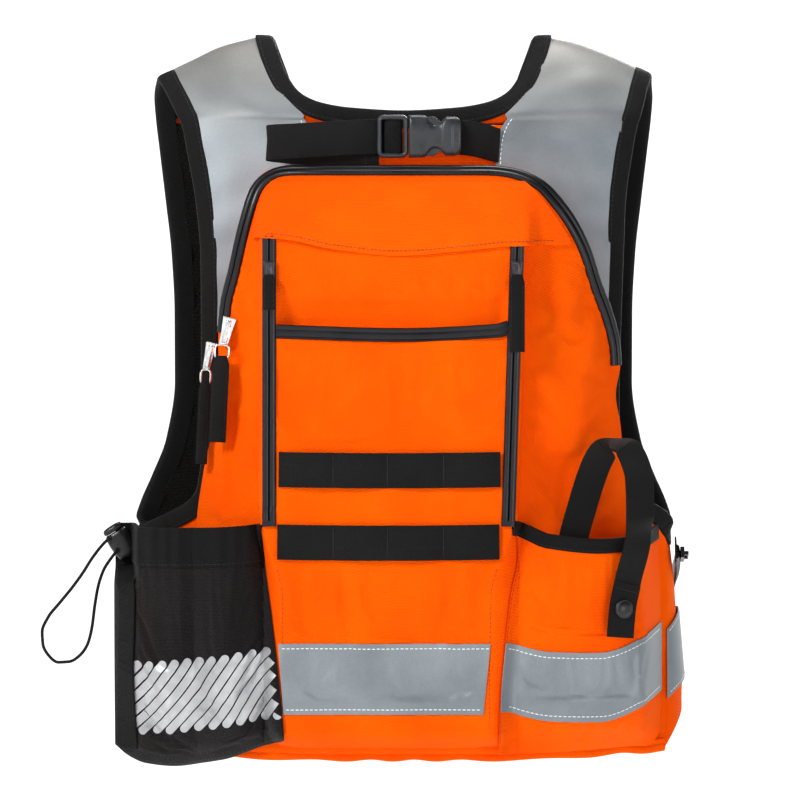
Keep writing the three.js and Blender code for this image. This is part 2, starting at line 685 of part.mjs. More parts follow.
const rightLeft = through([-346, 85], [-420, 84.5], [-500, 85], [-514, 90]);
const rightRight = through([-346, 184], [-420, 186], [-500, 186], [-514, 180]);
const rightTop = through([78, -343], [88, -350], [103, -357], [142, -361], [170, -359], [190, -353]);
const RIGHT_FACE = 117; // depth of the right pocket's face where it is fullest
const RIGHT_FULLEST = 115;
const RIGHT_SIDES = [14, 19]; // widths over which its two sides turn back
const MESH_DEPTH = 46;

const outermost = (x, z) => Math.min(packY(x, z), backY(x, z));
const quarter = (t) => Math.sin((THREE.MathUtils.clamp(t, 0, 1) * Math.PI) / 2);

// The right pocket stands off like a box with soft corners and is sewn down at its sides and floor.
function rightPocketY(x, z) {
  const side = Math.min((x - rightLeft(z)) / RIGHT_SIDES[0], (rightRight(z) - x) / RIGHT_SIDES[1]);
  const beyond = Math.max(0, x - RIGHT_FULLEST);
  const face = 0.006 * beyond * beyond - RIGHT_FACE;
  return mix(outermost(x, z), face, quarter(side) * quarter((z + 514) / 45)) - 2 * GAP;
}

// The mesh pocket bulges like a slack bag between its two sides.
function bulge(x, z, left, right, floor) {
  const u = THREE.MathUtils.clamp((x - left) / (right - left), 0, 1);
  const v = THREE.MathUtils.clamp((z - floor) / 70, 0, 1);
  return Math.pow(Math.sin(u * Math.PI), 0.7) * Math.pow(v, 0.45);
}

function addRightPocket() {
  const wall = {
    left: rightLeft,
    right: rightRight,
    high: -350,
    low: -514,
    top: (x) => rightTop(x) - 9.5,
    columns: 12,
    rows: 12,
    outer: ahead(rightPocketY, FABRIC),
    inner: ahead(rightPocketY, 0),
  };
  add("right_pocket", patch(wall), COLOURS.orange);
  const binding = { ...wall, low: -360, top: rightTop, bottom: (x) => rightTop(x) - 9, rows: 1 };
  binding.outer = ahead(rightPocketY, FABRIC + 0.8);
  add("right_pocket_binding", patch(binding), COLOURS.black);
  const line = through([84, -434], [140, -441], [186, -426]);
  const tape = {
    ...wall,
    high: -440,
    low: -490,
    top: line,
    bottom: (x) => line(x) - TAPE_WIDTH + 1,
    rows: 4,
    outer: ahead(rightPocketY, FABRIC + 2 * GAP + TAPE),
    inner: ahead(rightPocketY, FABRIC + 2 * GAP),
  };
  add("right_pocket_reflective", patch(tape), COLOURS.tape);
}

// The strap's lower end and its snap sit square to the pocket wall, which turns by this much here.
const SNAP_TURN = Math.atan(0.5);
const SNAP_NORMAL = vector(Math.sin(SNAP_TURN), -Math.cos(SNAP_TURN), 0);
const snapWallY = rightPocketY(SNAP.x, SNAP.z) - FABRIC;
const STRAP_CLEARANCE = 6.5; // between the pocket wall and the strap at the snap
const STRAP_WIDTH = 21;

// A point beside the stud, square to the pocket wall there: shift is to the right along the wall.
function besideSnap(shift, z, lift) {
  const along = vector(Math.cos(SNAP_TURN), Math.sin(SNAP_TURN), 0);
  const wall = vector(SNAP.x, snapWallY, z);
  const point = wall.addScaledVector(along, shift).addScaledVector(SNAP_NORMAL, lift);
  return [point.x, point.y, point.z, SNAP_NORMAL];
}

function addSnapStrap() {
  const front = [
    [162, -120, -298, vector(0.15, -1, 0.6)],
    [169, -127, -320, vector(0.3, -1, 0.1)],
    [169, -129, -342, vector(0.3, -1, 0)],
    besideSnap(10, -362, STRAP_CLEARANCE + 4),
    besideSnap(5, -388, STRAP_CLEARANCE),
    besideSnap(0, SNAP.z, STRAP_CLEARANCE),
    besideSnap(-2, -430, STRAP_CLEARANCE),
  ];
  add("snap_strap_front", band(pathThrough(front, 20), centred(STRAP_WIDTH), [-WEB, 0]), COLOURS.black);
  const back = [
    [118, -107, -388, vector(0, -1, 0)],
    [121, -108, -360, vector(0, -1, 0)],
    [132, -111, -322, vector(-0.1, -1, 0)],
    [141, -114, -298, vector(-0.1, -1, 0.2)],
  ];
  add("snap_strap_back", band(pathThrough(back, 14), centred(STRAP_WIDTH - 2), [-WEB, 0]), COLOURS.black);
}

function addSnap() {
  const place = (mesh, lift) => {
    mesh.position.set(SNAP.x, snapWallY, SNAP.z).addScaledVector(SNAP_NORMAL, lift);
    mesh.rotation.z = SNAP_TURN;
  };
  const cap = turned([[0, 0], [7, 0], [7, -1], [5.5, -2.6], [3, -3.5], [0, -3.8]]);
  place(add("snap_cap", cap, COLOURS.plastic), STRAP_CLEARANCE + SNUG);
  const socket = turned([[2.7, 0], [5.6, 0], [5.6, -2], [2.7, -2], [2.7, 0]]);
  place(add("snap_socket", socket, COLOURS.chrome), STRAP_CLEARANCE - WEB - SNUG - 2);
  const stud = turned([[0, 0], [5.2, 0], [5.2, -1], [2, -1.3], [2.2, -3.2], [0, -3.6]]);
  place(add("snap_stud", stud, COLOURS.chrome), SNUG);
}

// ---- Mesh bottle pocket with its draw cord ----

const meshLeft = through([-353, -205], [-512, -205]);
const meshRight = through([-346, -106.5], [-420, -106.5], [-512, -106.5]);
const meshTop = through([-207, -353], [-150, -352], [-94, -347]);
const MESH_FLOOR = -512;
const CASING = 28;
const EDGE_WEB = [-204.5, -188];

const meshBase = (x, z) => Math.min(backY(x, z) - 3, packY(Math.max(x, -150), z));
const meshPocketY = (x, z) =>
  meshBase(x, z) - MESH_DEPTH * bulge(x, z, meshLeft(z) - 3, meshRight(z), MESH_FLOOR) - 2 * GAP;

function addMeshPocket() {
  const wall = {
    left: meshLeft,
    right: meshRight,
    high: -382,
    low: MESH_FLOOR,
    top: (x) => meshTop(x) - CASING - GAP,
    columns: 12,
    rows: 10,
    outer: ahead(meshPocketY, FABRIC),
    inner: ahead(meshPocketY, 0),
  };
  add("mesh_pocket", patch(wall), COLOURS.mesh);
  const casing = { ...wall, top: meshTop, bottom: (x) => meshTop(x) - CASING, rows: 3 };
  casing.outer = ahead(meshPocketY, FABRIC + 0.8);
  add("mesh_pocket_casing", patch(casing), COLOURS.black);
  const edge = {
    left: EDGE_WEB[0],
    right: EDGE_WEB[1],
    high: -358,
    low: MESH_FLOOR + 1,
    columns: 2,
    rows: 12,
    outer: ahead(meshPocketY, FABRIC + 2 * GAP + WEB + 0.6),
    inner: ahead(meshPocketY, FABRIC + 2 * GAP + 0.6),
  };
  add("mesh_pocket_edge", patch(edge), COLOURS.black);
}

// The cord lock stands in front of the casing's outer corner: an oval barrel, leaning to the left,
// with a button at its upper end and two cord holes across both.
const LOCK = { x: -203.5, y: -58, z: -366, lean: -32 };
const LOCK_SIZE = { width: 17, depth: 11, body: 17, button: 6, travel: 3.5 };

function roundedPlate(width, depth, radius) {
  const x = width / 2 - radius;
  const y = depth / 2 - radius;
  const shape = new THREE.Shape();
  shape.absarc(x, y, radius, 0, Math.PI / 2);
  shape.absarc(-x, y, radius, Math.PI / 2, Math.PI);
  shape.absarc(-x, -y, radius, Math.PI, 1.5 * Math.PI);
  shape.absarc(x, -y, radius, 1.5 * Math.PI, 2 * Math.PI);
  return shape;
}

const prism = (shape, from, height) =>
  new THREE.ExtrudeGeometry(shape, { depth: height, bevelEnabled: false, curveSegments: 6 }).translate(0, 0, from);

function addCordLock() {
  const { width, depth, body, button, travel } = LOCK_SIZE;
  const frame = new THREE.Group();
  frame.position.set(LOCK.x, LOCK.y, LOCK.z);
  frame.rotation.y = THREE.MathUtils.degToRad(LOCK.lean);
  group.add(frame);
  const barrel = solid(prism(roundedPlate(width, depth, 5.4), -body / 2, body));
  const well = solid(prism(roundedPlate(width - 4, depth - 4, 3.4), -body / 2 + 2, body));
  const holes = [-4, 4].map((x) => solid(block([x, 0, -2.5], [3.4, depth + 2, 3.4])));
  const shell = holes.reduce((made, hole) => made.subtract(hole), barrel.subtract(well));
  add("cord_lock_body", geometryOf(shell), COLOURS.plastic, frame);
  const stem = solid(prism(roundedPlate(width - 4.8, depth - 4.8, 3), body / 2 - 6, 6.5));
  const cap = solid(prism(roundedPlate(width - 0.5, depth - 0.5, 5), body / 2 + travel + 0.6, button - 2));
  const neck = solid(prism(roundedPlate(width - 4.8, depth - 4.8, 3), body / 2, travel + 1));
  add("cord_lock_button", geometryOf(stem.add(neck).add(cap)), COLOURS.plastic, frame);
  const springLength = body - 2 - 6 - 2 * SNUG;
  const wall = [[1.3, 0], [2.1, 0], [2.1, -springLength], [1.3, -springLength], [1.3, 0]];
  const spring = turned(wall, 12).rotateX(-Math.PI / 2);
  add("cord_lock_spring", spring.translate(0, 0, -body / 2 + 2 + SNUG), COLOURS.chrome, frame);
}

// The elastic leaves one hole of the lock, hangs in a loop and goes back into the other.
const CORD_ROUTE = [
  [-212, -64.6, -363], [-217, -65, -368], [-224, -65, -377], [-231, -65, -388], [-239, -64, -399],
  [-248, -63, -410], [-256, -62, -420], [-260.5, -61, -431], [-260, -60, -440], [-256, -59, -448],
  [-249, -59, -453], [-241, -59, -452.5], [-233, -59, -447.5], [-227.5, -60, -439], [-224.5, -61, -427],
  [-222.5, -62, -412], [-220, -63, -398], [-216, -64, -386], [-211, -65, -378], [-206, -64.6, -371.5],
];

function addElasticLoop() {
  const curve = new THREE.CatmullRomCurve3(CORD_ROUTE.map((point) => vector(...point)));
  const section = new THREE.Shape();
  section.absarc(0, 0, CORD_RADIUS, 0, 2 * Math.PI);
  const settings = { extrudePath: curve, steps: 44, curveSegments: 4, bevelEnabled: false };
  const cord = new THREE.ExtrudeGeometry(section, settings);
  add("elastic_loop", cord, COLOURS.black);
}

// ---- Back strap and its side-release buckle ----

const BUCKLE = { y: -82, z: -73.5, height: 32, thickness: 10 };
const FEMALE = [4, 42];
const MALE = [-18.5, 3.6];
const NOTCH = [15.5, 29];

function addBuckle() {
  const { height, thickness } = BUCKLE;
  const frame = new THREE.Group();
  frame.position.set(0, BUCKLE.y, BUCKLE.z);
  group.add(frame);
  const box = ([left, right], depth, [low, high]) =>
    solid(block([(left + right) / 2, 0, (low + high) / 2], [right - left, depth, high - low]));
  const half = height / 2;
  const shell = box(FEMALE, thickness, [-half + 2, half - 2]);
  const cavity = box([FEMALE[0] - 1, 33], thickness - 4, [-half + 4, half - 4]);
  const bites = [[half - 5.5, half], [-half, 5.5 - half]];
  const notches = bites.map((bite) => box(NOTCH, thickness + 2, bite));
  const webSlot = box([36, 39], thickness + 2, [-13, 13]);
  const female = [cavity, ...notches, webSlot].reduce((made, cut) => made.subtract(cut), shell);
  add("buckle_female", geometryOf(female), COLOURS.plastic, frame);

  const ladder = box(MALE, 5.5, [-half, half]);
  const slots = [[-15.5, -11.5], [-8, -4]].map((span) => box(span, 8, [-13, 13]));
  const guide = box([3, 14], 4.4, [-2.5, 2.5]);
  const male = slots.reduce((made, slot) => made.subtract(slot), ladder).add(guide);
  add("buckle_male", geometryOf(male), COLOURS.plastic, frame);

  for (const [name, side] of [["upper", 1], ["lower", -1]]) {
    const arm = [[4.4, 7.6], [4.4, 10.4], [16.2, 11], [16.2, 14], [22, 14], [28, 9.6], [28, 7.6]];
    const outline = arm.map(([x, z]) => [x, side * z]);
    const latch = plate(side > 0 ? outline : outline.reverse(), -2.2, 4.4);
    add("buckle_latch_" + name, latch, COLOURS.plastic, frame);
  }
}

function addBackStrap() {
  const out = vector(0, -1, 0);
  const right = [
    [40.6, BUCKLE.y + 6.2, -74, out],
    [52, BUCKLE.y + 6, -75.5, out],
    [70, BUCKLE.y + 8.5, -79, vector(0.1, -1, 0.2)],
  ];
  add("back_strap_right", band(pathThrough(right, 8), centred(LOAD_WEB), [-WEB, 0]), COLOURS.black);
  const tail = [
    [-20, BUCKLE.y - 3.4, -73.5, out], [-55, BUCKLE.y - 4, -75, out], [-88, BUCKLE.y - 3.8, -76.5, out],
    [-95, BUCKLE.y - 2.8, -77, vector(-0.7, -0.7, 0)], [-97, BUCKLE.y - 1, -77, vector(-1, 0, 0)],
    [-95, BUCKLE.y + 0.8, -77, vector(-0.7, 0.7, 0)], [-88, BUCKLE.y + 1.8, -77, vector(0, 1, 0)],
    [-55, BUCKLE.y + 1.8, -77, vector(0, 1, 0)], [-22, BUCKLE.y + 1.6, -75, vector(0, 1, 0)],
  ];
  add("back_strap_tail", band(pathThrough(tail, 40), centred(LOAD_WEB), [-WEB, 0]), COLOURS.black);
}

// ---- Waist bands, side zip and front zip ----

const WAIST_TOP = { back: -433, front: -427 };

function addWaistBand(name, side) {
  const columns = 12;
  const top = (turn) => mix(WAIST_TOP.back, WAIST_TOP.front, turn) + BAND_RISE * Math.sin(turn * Math.PI);
  const bottom = (turn) => top(turn) - TAPE_WIDTH;
  const [outer, inner] = sideLayer(side, 0.04, 0.97, top, bottom, [GAP, GAP + TAPE], 8, 2);
  const frontRow = (row, lift) => {
    const z = WAIST_TOP.front - (TAPE_WIDTH * row) / 2;
    const place = lifted(frontY, lift, 1);
    return Array.from({ length: columns + 1 }, (_, c) => place(side * mix(SIDE_X - 2, 14, c / columns), z));
  };
  const rows = (grid, lift) => grid.map((row, r) => [...row, ...frontRow(r, lift)]);
  add("waist_reflective_" + name, slab(rows(outer, GAP + TAPE), rows(inner, GAP)), COLOURS.tape);
}

// The side zip runs straight and slanting down the right side panel; its slider parks at the back.
const SIDE_ZIP = { y: 0, z: -386, slant: 24, length: 52, slider: -18 };

function addSideZip() {
  const frame = new THREE.Group();
  frame.position.set(SIDE_X + 1.2 + SIDE_BULGE(SIDE_ZIP.z) + 1.5, SIDE_ZIP.y, SIDE_ZIP.z);
  frame.rotation.set(THREE.MathUtils.degToRad(-SIDE_ZIP.slant), 0, 0);
  group.add(frame);
  add("side_zip", block([0.8, 0, 0], [1.6, SIDE_ZIP.length, 11]), COLOURS.coated, frame);
  const slider = sliderBody(14, 8.5, 3).rotateZ(Math.PI / 2).rotateX(Math.PI / 2);
  add("side_zip_slider", slider, COLOURS.chrome, frame).position.set(2.1, SIDE_ZIP.slider, 0);
}

const FRONT_ZIP = { y: 91.5, top: -186, bottom: -494, slider: -200 };

// The front zip parts the two front panels. Its slider carries a moulded pull.
function addFrontZip() {
  const { y, top, bottom, slider } = FRONT_ZIP;
  const width = 2 * (ZIP_HALF - GAP);
  add("front_zip", block([0, y, (top + bottom) / 2], [width, 1.6, top - bottom]), COLOURS.coated);
  const body = solid(sliderBody(16, 9, 3.2).rotateZ(Math.PI));
  const pull = solid(block([0, 5.2, -16], [7, 2, 26]));
  const front = add("front_zip_slider", geometryOf(body.add(pull)), COLOURS.chrome);
  front.position.set(0, y + 1.2, slider);
}

addBackPanel();
for (const [name, side] of [["left", -1], ["right", 1]]) {
  addFrontPanel(name, side);
  addSidePanel(name, side);
  addYoke(name, side);
  addShoulderTape(name, side);
  addArmholeBinding(name, side);
  addWaistBand(name, side);
}
addNeckBinding();
addPack();
addStormFlap();
addCentrePocket();
addCentreZips();
addPocketBands();
addSliders();
addRightPocket();
addSnapStrap();
addSnap();
addMeshPocket();
addCordLock();
addElasticLoop();
addBuckle();
addBackStrap();
addSideZip();
addFrontZip();

export default group;
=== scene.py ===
import math

import bmesh
import bpy
import numpy as np
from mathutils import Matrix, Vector


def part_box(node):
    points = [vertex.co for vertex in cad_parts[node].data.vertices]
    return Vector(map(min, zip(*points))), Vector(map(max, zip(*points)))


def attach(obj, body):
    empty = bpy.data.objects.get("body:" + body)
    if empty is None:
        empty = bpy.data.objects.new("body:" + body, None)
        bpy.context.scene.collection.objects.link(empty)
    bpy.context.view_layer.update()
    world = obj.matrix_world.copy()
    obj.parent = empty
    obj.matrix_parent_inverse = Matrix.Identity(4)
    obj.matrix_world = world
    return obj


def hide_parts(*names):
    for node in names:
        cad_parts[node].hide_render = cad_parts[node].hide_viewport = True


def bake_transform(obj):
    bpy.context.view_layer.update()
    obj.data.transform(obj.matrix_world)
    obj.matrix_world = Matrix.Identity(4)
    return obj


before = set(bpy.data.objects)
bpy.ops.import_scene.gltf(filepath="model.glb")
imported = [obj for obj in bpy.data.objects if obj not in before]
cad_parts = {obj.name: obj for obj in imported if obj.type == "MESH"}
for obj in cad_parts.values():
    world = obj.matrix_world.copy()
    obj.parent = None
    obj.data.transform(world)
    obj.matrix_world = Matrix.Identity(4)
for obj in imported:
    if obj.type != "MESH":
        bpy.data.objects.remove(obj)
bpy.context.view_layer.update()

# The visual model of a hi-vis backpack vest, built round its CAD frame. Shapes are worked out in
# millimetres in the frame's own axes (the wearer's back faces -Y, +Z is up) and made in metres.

MM = 0.001

# ---- Curves ----


def through(*pairs):
    """A curve through (position, value) pairs that never overshoots them, level beyond its ends."""
    knots = np.array(sorted(pairs), float)
    at, values = knots[:, 0], knots[:, 1]
    secants = np.diff(values) / np.diff(at)
    before = np.concatenate([secants[:1], secants])
    after = np.concatenate([secants, secants[-1:]])
    same = before * after > 0
    slopes = np.where(same, 2 * before * after / np.where(same, before + after, 1), 0)

    def curve(t):
        t = np.clip(t, at[0], at[-1])
        i = np.clip(np.searchsorted(at, t, side="right") - 1, 0, len(at) - 2)
        span = at[i + 1] - at[i]
        s = (t - at[i]) / span
        ease = s * s * (3 - 2 * s)
        bend = span * s * (1 - s) * ((1 - s) * slopes[i] - s * slopes[i + 1])
        return values[i] + (values[i + 1] - values[i]) * ease + bend

    return curve


def value(edge, t):
    """An edge is a number or a curve."""
    return edge(t) if callable(edge) else edge + 0 * t


def mix(a, b, t):
    return a + (b - a) * t


def smoothstep(t):
    t = np.clip(t, 0, 1)
    return t * t * (3 - 2 * t)


def quarter(t):
    """Rises from 0 to 1 like the first quarter of a sine."""
    return np.sin(np.clip(t, 0, 1) * math.pi / 2)


def rounded(wave, power):
    """A sine or cosine made squarer, power below 1, with its sign kept."""
    return np.sign(wave) * np.abs(wave) ** power


def unit(vectors):
    return vectors / np.maximum(np.linalg.norm(vectors, axis=-1, keepdims=True), 1e-12)


def lengths(points):
    """How far along a line of points each one is."""
    steps = np.linalg.norm(np.diff(points[:, :3], axis=0), axis=1)
    return np.concatenate([[0], np.cumsum(steps)])


def relaxed(points, rounds):
    """Evens out rows of points in place, with the ends held."""
    for _ in range(rounds):
        points[1:-1] = (points[:-2] + 2 * points[1:-1] + points[2:]) / 4
    return points


def smooth_path(points, step, closed=False):
    """Points about step apart on a smooth curve through the given rows of numbers."""
    knots = np.array(points, float)
    if closed:
        knots = np.vstack([knots[-3:], knots, knots[:4]])
    at = lengths(knots)
    curves = [through(*zip(at, column)) for column in knots.T]
    start, end = (at[3], at[-4]) if closed else (at[0], at[-1])
    count = max(8, int((end - start) / step))
    t = np.linspace(start, end, count, endpoint=not closed)
    return np.stack([curve(t) for curve in curves], -1)


def waves(x, z, seed, size, count=5):
    """Soft unevenness between about -1 and 1, the same each run; size is its rough wavelength."""
    random = np.random.default_rng(seed)
    total = 0
    for _ in range(count):
        turn = random.uniform(0, math.pi)
        pace = 2 * math.pi / (size * random.uniform(0.7, 1.5))
        phase = random.uniform(0, 2 * math.pi)
        total = total + np.sin((x * math.cos(turn) + z * math.sin(turn)) * pace + phase)
    return total / math.sqrt(count * 2)


def bump_at(x, z, x0, z0, half_width, half_height, turn):
    """A soft round hill of height 1 at (x0, z0)."""
    turn = math.radians(turn)
    u = (x - x0) * math.cos(turn) + (z - z0) * math.sin(turn)
    v = -(x - x0) * math.sin(turn) + (z - z0) * math.cos(turn)
    return np.exp(-((u / half_width) ** 2) - (v / half_height) ** 2)


def folds(x, z, table):
    """The sum of soft hills, from rows of height, x, z, half width, half height and turn."""
    total = 0
    for height, *place in table:
        total = total + height * bump_at(x, z, *place)
    return total


# ---- Camera ----

VIEW_TARGET = Vector((-2.5, -100, -261.4)) * MM
VIEW_DISTANCE = 5.0
VIEW_RISE = 3  # degrees above the horizon
VIEW_WIDTH = 0.5696  # seen at the pack's front, in metres
PACK_FRONT = 0.015  # how much nearer than the target the pack's front is
SENSOR = 36


def add_camera():
    rise = math.radians(VIEW_RISE)
    data = bpy.data.cameras.new("camera")
    data.sensor_width = SENSOR
    data.lens = SENSOR * (VIEW_DISTANCE - PACK_FRONT) / VIEW_WIDTH
    data.clip_end = 60
    camera = bpy.data.objects.new("camera", data)
    offset = Vector((0, -math.cos(rise), math.sin(rise))) * VIEW_DISTANCE
    camera.location = VIEW_TARGET + offset
    camera.rotation_euler = (-offset).to_track_quat("-Z", "Y").to_euler()
    bpy.context.scene.collection.objects.link(camera)
    bpy.context.scene.camera = camera


add_camera()

# ---- Materials ----


class Paint:
    """A material with a Principled shader, built node by node."""

    def __init__(self, name, **settings):
        self.material = bpy.data.materials.new(name)
        self.material.use_nodes = True
        self.tree = self.material.node_tree
        self.shader = self.tree.nodes["Principled BSDF"]
        for key, amount in settings.items():
            self.shader.inputs[key.replace("_", " ")].default_value = amount

    def node(self, kind, inputs=None, **settings):
        made = self.tree.nodes.new("ShaderNode" + kind)
        for key, setting in settings.items():
            setattr(made, key, setting)
        for key, given in (inputs or {}).items():
            if isinstance(given, bpy.types.NodeSocket):
                self.tree.links.new(given, made.inputs[key])
            else:
                made.inputs[key].default_value = given
        return made

    def math(self, operation, *values):
        return self.node("Math", dict(enumerate(values)), operation=operation).outputs[0]

    def place(self):
        """Where a point lies in the weave, in millimetres: across, along."""
        return self.node("Attribute", attribute_name="thread").outputs["Vector"]

    def object_place(self):
        """Where a point lies in the object, in millimetres."""
        at = self.node("TexCoord").outputs["Object"]
        scaled = self.node("VectorMath", {0: at, "Scale": 1000.0}, operation="SCALE")
        return scaled.outputs[0]

    def noise(self, where, size, detail=3.0, low=0.35, high=0.65):
        """Noise with features of about size millimetres, spread from 0 to 1."""
        made = self.node("TexNoise", {"Vector": where, "Scale": 1 / size, "Detail": detail})
        spread = {"Value": made.outputs["Fac"], "From Min": low, "From Max": high}
        return self.node("MapRange", spread).outputs["Result"]

    def weave(self, where, across, along, gap, offset=0.5):
        """1 on the threads and 0 between them, for threads of that size in millimetres."""
        made = self.node(
            "TexBrick",
            {
                "Vector": where,
                "Scale": 1.0,
                "Brick Width": across,
                "Row Height": along,
                "Mortar Size": gap,
                "Mortar Smooth": 1.0,
                "Bias": 0.0,
            },
            offset=offset,
        )
        return self.math("SUBTRACT", 1.0, made.outputs["Fac"])

    def blend(self, factor, first, second):
        made = self.node("Mix", {0: factor}, data_type="RGBA")
        for index, given in ((6, first), (7, second)):
            if isinstance(given, bpy.types.NodeSocket):
                self.tree.links.new(given, made.inputs[index])
            else:
                made.inputs[index].default_value = (*given, 1)
        return made.outputs[2]

    def connect(self, socket, name):
        self.tree.links.new(socket, self.shader.inputs[name])

    def rough(self, factor, low, high):
        spread = {"Value": factor, "To Min": low, "To Max": high}
        self.connect(self.node("MapRange", spread).outputs["Result"], "Roughness")

    def bump(self, height, depth, strength=1.0, under=None):
        """depth is in millimetres."""
        inputs = {"Height": height, "Distance": depth * MM, "Strength": strength}
        if under is not None:
            inputs["Normal"] = under
        made = self.node("Bump", inputs).outputs["Normal"]
        self.connect(made, "Normal")
        return made


def woven(name, light, dark, threads, depth, sheen=0.2, roughness=(0.7, 0.85), shade=0.5, shine=0.3):
    """A woven cloth: thread colours light and dark, threads (across, along, gap) in millimetres."""
    paint = Paint(name, Sheen_Weight=sheen, Sheen_Roughness=0.5, Specular_IOR_Level=shine)
    where = paint.place()
    pattern = paint.weave(where, *threads)
    patchy = paint.noise(paint.object_place(), 60, detail=4.0)
    fibre = paint.noise(where, 0.5, detail=2.0)
    cloth = paint.blend(patchy, light, dark)
    gaps = tuple(c * shade for c in dark)
    colour = paint.blend(pattern, gaps, cloth)
    paint.connect(colour, "Base Color")
    paint.rough(fibre, *roughness)
    yarn = paint.bump(fibre, depth * 0.4, 0.4)
    paint.bump(pattern, depth, 0.8, under=yarn)
    return paint


def orange_cloth():
    light, dark = (1.0, 0.155, 0.0), (1.0, 0.118, 0.0)
    paint = woven("orange_oxford", light, dark, (1.75, 1.05, 0.3), 0.5, sheen=0.0, shade=0.6, shine=0.08)
    # The cloth is given a faint orange glow of its own: painted light, standing in for the dye's fluorescence
    # and lifting its shaded folds.
    paint.shader.inputs["Emission Color"].default_value = (1.0, 0.11, 0.0, 1)
    paint.shader.inputs["Emission Strength"].default_value = 0.1
    return paint.material


def webbing_cloth(name, threads, light=(0.0125, 0.012, 0.0125), dark=(0.006, 0.0058, 0.006)):
    settings = {"sheen": 0.03, "roughness": (0.5, 0.75), "shade": 0.2, "shine": 0.22}
    return woven(name, light, dark, threads, 0.9, **settings).material


def reflective_tape():
    paint = Paint("reflective_tape", Metallic=0.3, Specular_IOR_Level=0.55, Sheen_Weight=0.1)
    where = paint.place()
    patchy = paint.noise(paint.object_place(), 45, detail=4.0)
    beads = paint.node("TexVoronoi", {"Vector": where, "Scale": 2.4}).outputs["Distance"]
    cool = paint.blend(patchy, (0.19, 0.215, 0.236), (0.245, 0.27, 0.29))
    height = paint.node("SeparateXYZ", {0: paint.object_place()}).outputs["Z"]
    near_top = {"Value": height, "From Min": -75.0, "From Max": -8.0, "To Max": 0.75}
    shoulder = paint.node("MapRange", near_top).outputs["Result"]
    warm = paint.blend(shoulder, cool, (0.26, 0.246, 0.218))
    sparkle = {"Value": beads, "From Max": 0.6, "To Min": 1.12, "To Max": 0.86}
    glint = paint.node("MapRange", sparkle).outputs["Result"]
    shade = paint.node("VectorMath", {0: warm, "Scale": glint}, operation="SCALE")
    paint.connect(shade.outputs[0], "Base Color")
    paint.rough(patchy, 0.42, 0.56)
    paint.bump(beads, 0.08, 0.5)
    return paint.material


def spacer_mesh():
    paint = Paint("spacer_mesh", Sheen_Weight=0.06, Specular_IOR_Level=0.2)
    where = paint.place()
    holes = paint.weave(where, 4.2, 2.6, 0.75)
    # The holes are painted darker than the threads: painted shade in the holes.
    colour = paint.blend(holes, (0.003, 0.0026, 0.0024), (0.0105, 0.0092, 0.0082))
    paint.connect(colour, "Base Color")
    paint.rough(paint.noise(where, 0.6), 0.75, 0.95)
    paint.bump(holes, 1.0, 1.0)
    return paint.material


def pocket_mesh():
    paint = Paint("pocket_mesh", Sheen_Weight=0.06, Specular_IOR_Level=0.25)
    where = paint.place()
    holes = paint.weave(where, 1.5, 1.0, 0.36)
    patchy = paint.noise(paint.object_place(), 40)
    yarn = paint.blend(patchy, (0.0075, 0.0072, 0.008), (0.012, 0.0115, 0.0125))
    # The holes are painted darker than the yarn: painted shade in the holes, which are also partly
    # see-through.
    paint.connect(paint.blend(holes, (0.005, 0.0045, 0.005), yarn), "Base Color")
    clear = {"Value": holes, "To Min": 0.86, "To Max": 1.0}
    paint.connect(paint.node("MapRange", clear).outputs["Result"], "Alpha")
    paint.rough(patchy, 0.7, 0.9)
    paint.bump(holes, 0.3, 0.8)
    return paint.material


def coated_tape():
    paint = Paint("coated_zip", Coat_Weight=0.15, Coat_Roughness=0.2, Specular_IOR_Level=0.35)
    where = paint.place()
    grain = paint.noise(where, 1.2, detail=4.0)
    patchy = paint.noise(paint.object_place(), 25, detail=3.0)
    paint.connect(paint.blend(patchy, (0.006, 0.0058, 0.0078), (0.011, 0.0105, 0.0135)), "Base Color")
    paint.rough(patchy, 0.3, 0.46)
    paint.bump(grain, 0.05, 0.5)
    return paint.material


def moulded_plastic(name, light, dark, roughness):
    paint = Paint(name, Specular_IOR_Level=0.5)
    where = paint.object_place()
    patchy = paint.noise(where, 9, detail=4.0)
    grain = paint.noise(where, 0.35, detail=2.0)
    paint.connect(paint.blend(patchy, light, dark), "Base Color")
    paint.rough(patchy, roughness - 0.07, roughness + 0.08)
    paint.bump(grain, 0.04, 0.5)
    return paint.material


def bright_metal(name, light, dark, roughness=0.2):
    paint = Paint(name, Metallic=1.0)
    where = paint.object_place()
    patchy = paint.noise(where, 5, detail=5.0)
    scratches = paint.noise(where, 0.4, detail=6.0)
    paint.connect(paint.blend(patchy, light, dark), "Base Color")
    paint.rough(scratches, roughness - 0.06, roughness + 0.12)
    paint.bump(scratches, 0.015, 0.5)
    return paint.material


def sewing_thread(name, light, dark):
    paint = Paint(name, Sheen_Weight=0.1, Specular_IOR_Level=0.35)
    where = paint.object_place()
    twist = paint.noise(where, 0.35, detail=1.0)
    paint.connect(paint.blend(twist, light, dark), "Base Color")
    paint.rough(twist, 0.4, 0.6)
    paint.bump(twist, 0.06, 0.6)
    return paint.material


def silver_print():
    paint = Paint("silver_print", Metallic=0.35, Specular_IOR_Level=0.6)
    where = paint.object_place()
    patchy = paint.noise(where, 22, detail=3.0)
    tint = paint.noise(where, 9, detail=3.0)
    base = paint.blend(patchy, (0.24, 0.252, 0.265), (0.47, 0.48, 0.49))
    paint.connect(paint.blend(tint, base, (0.36, 0.36, 0.375)), "Base Color")
    paint.rough(patchy, 0.3, 0.45)
    paint.bump(paint.noise(paint.place(), 0.7), 0.05, 0.5)
    return paint.material


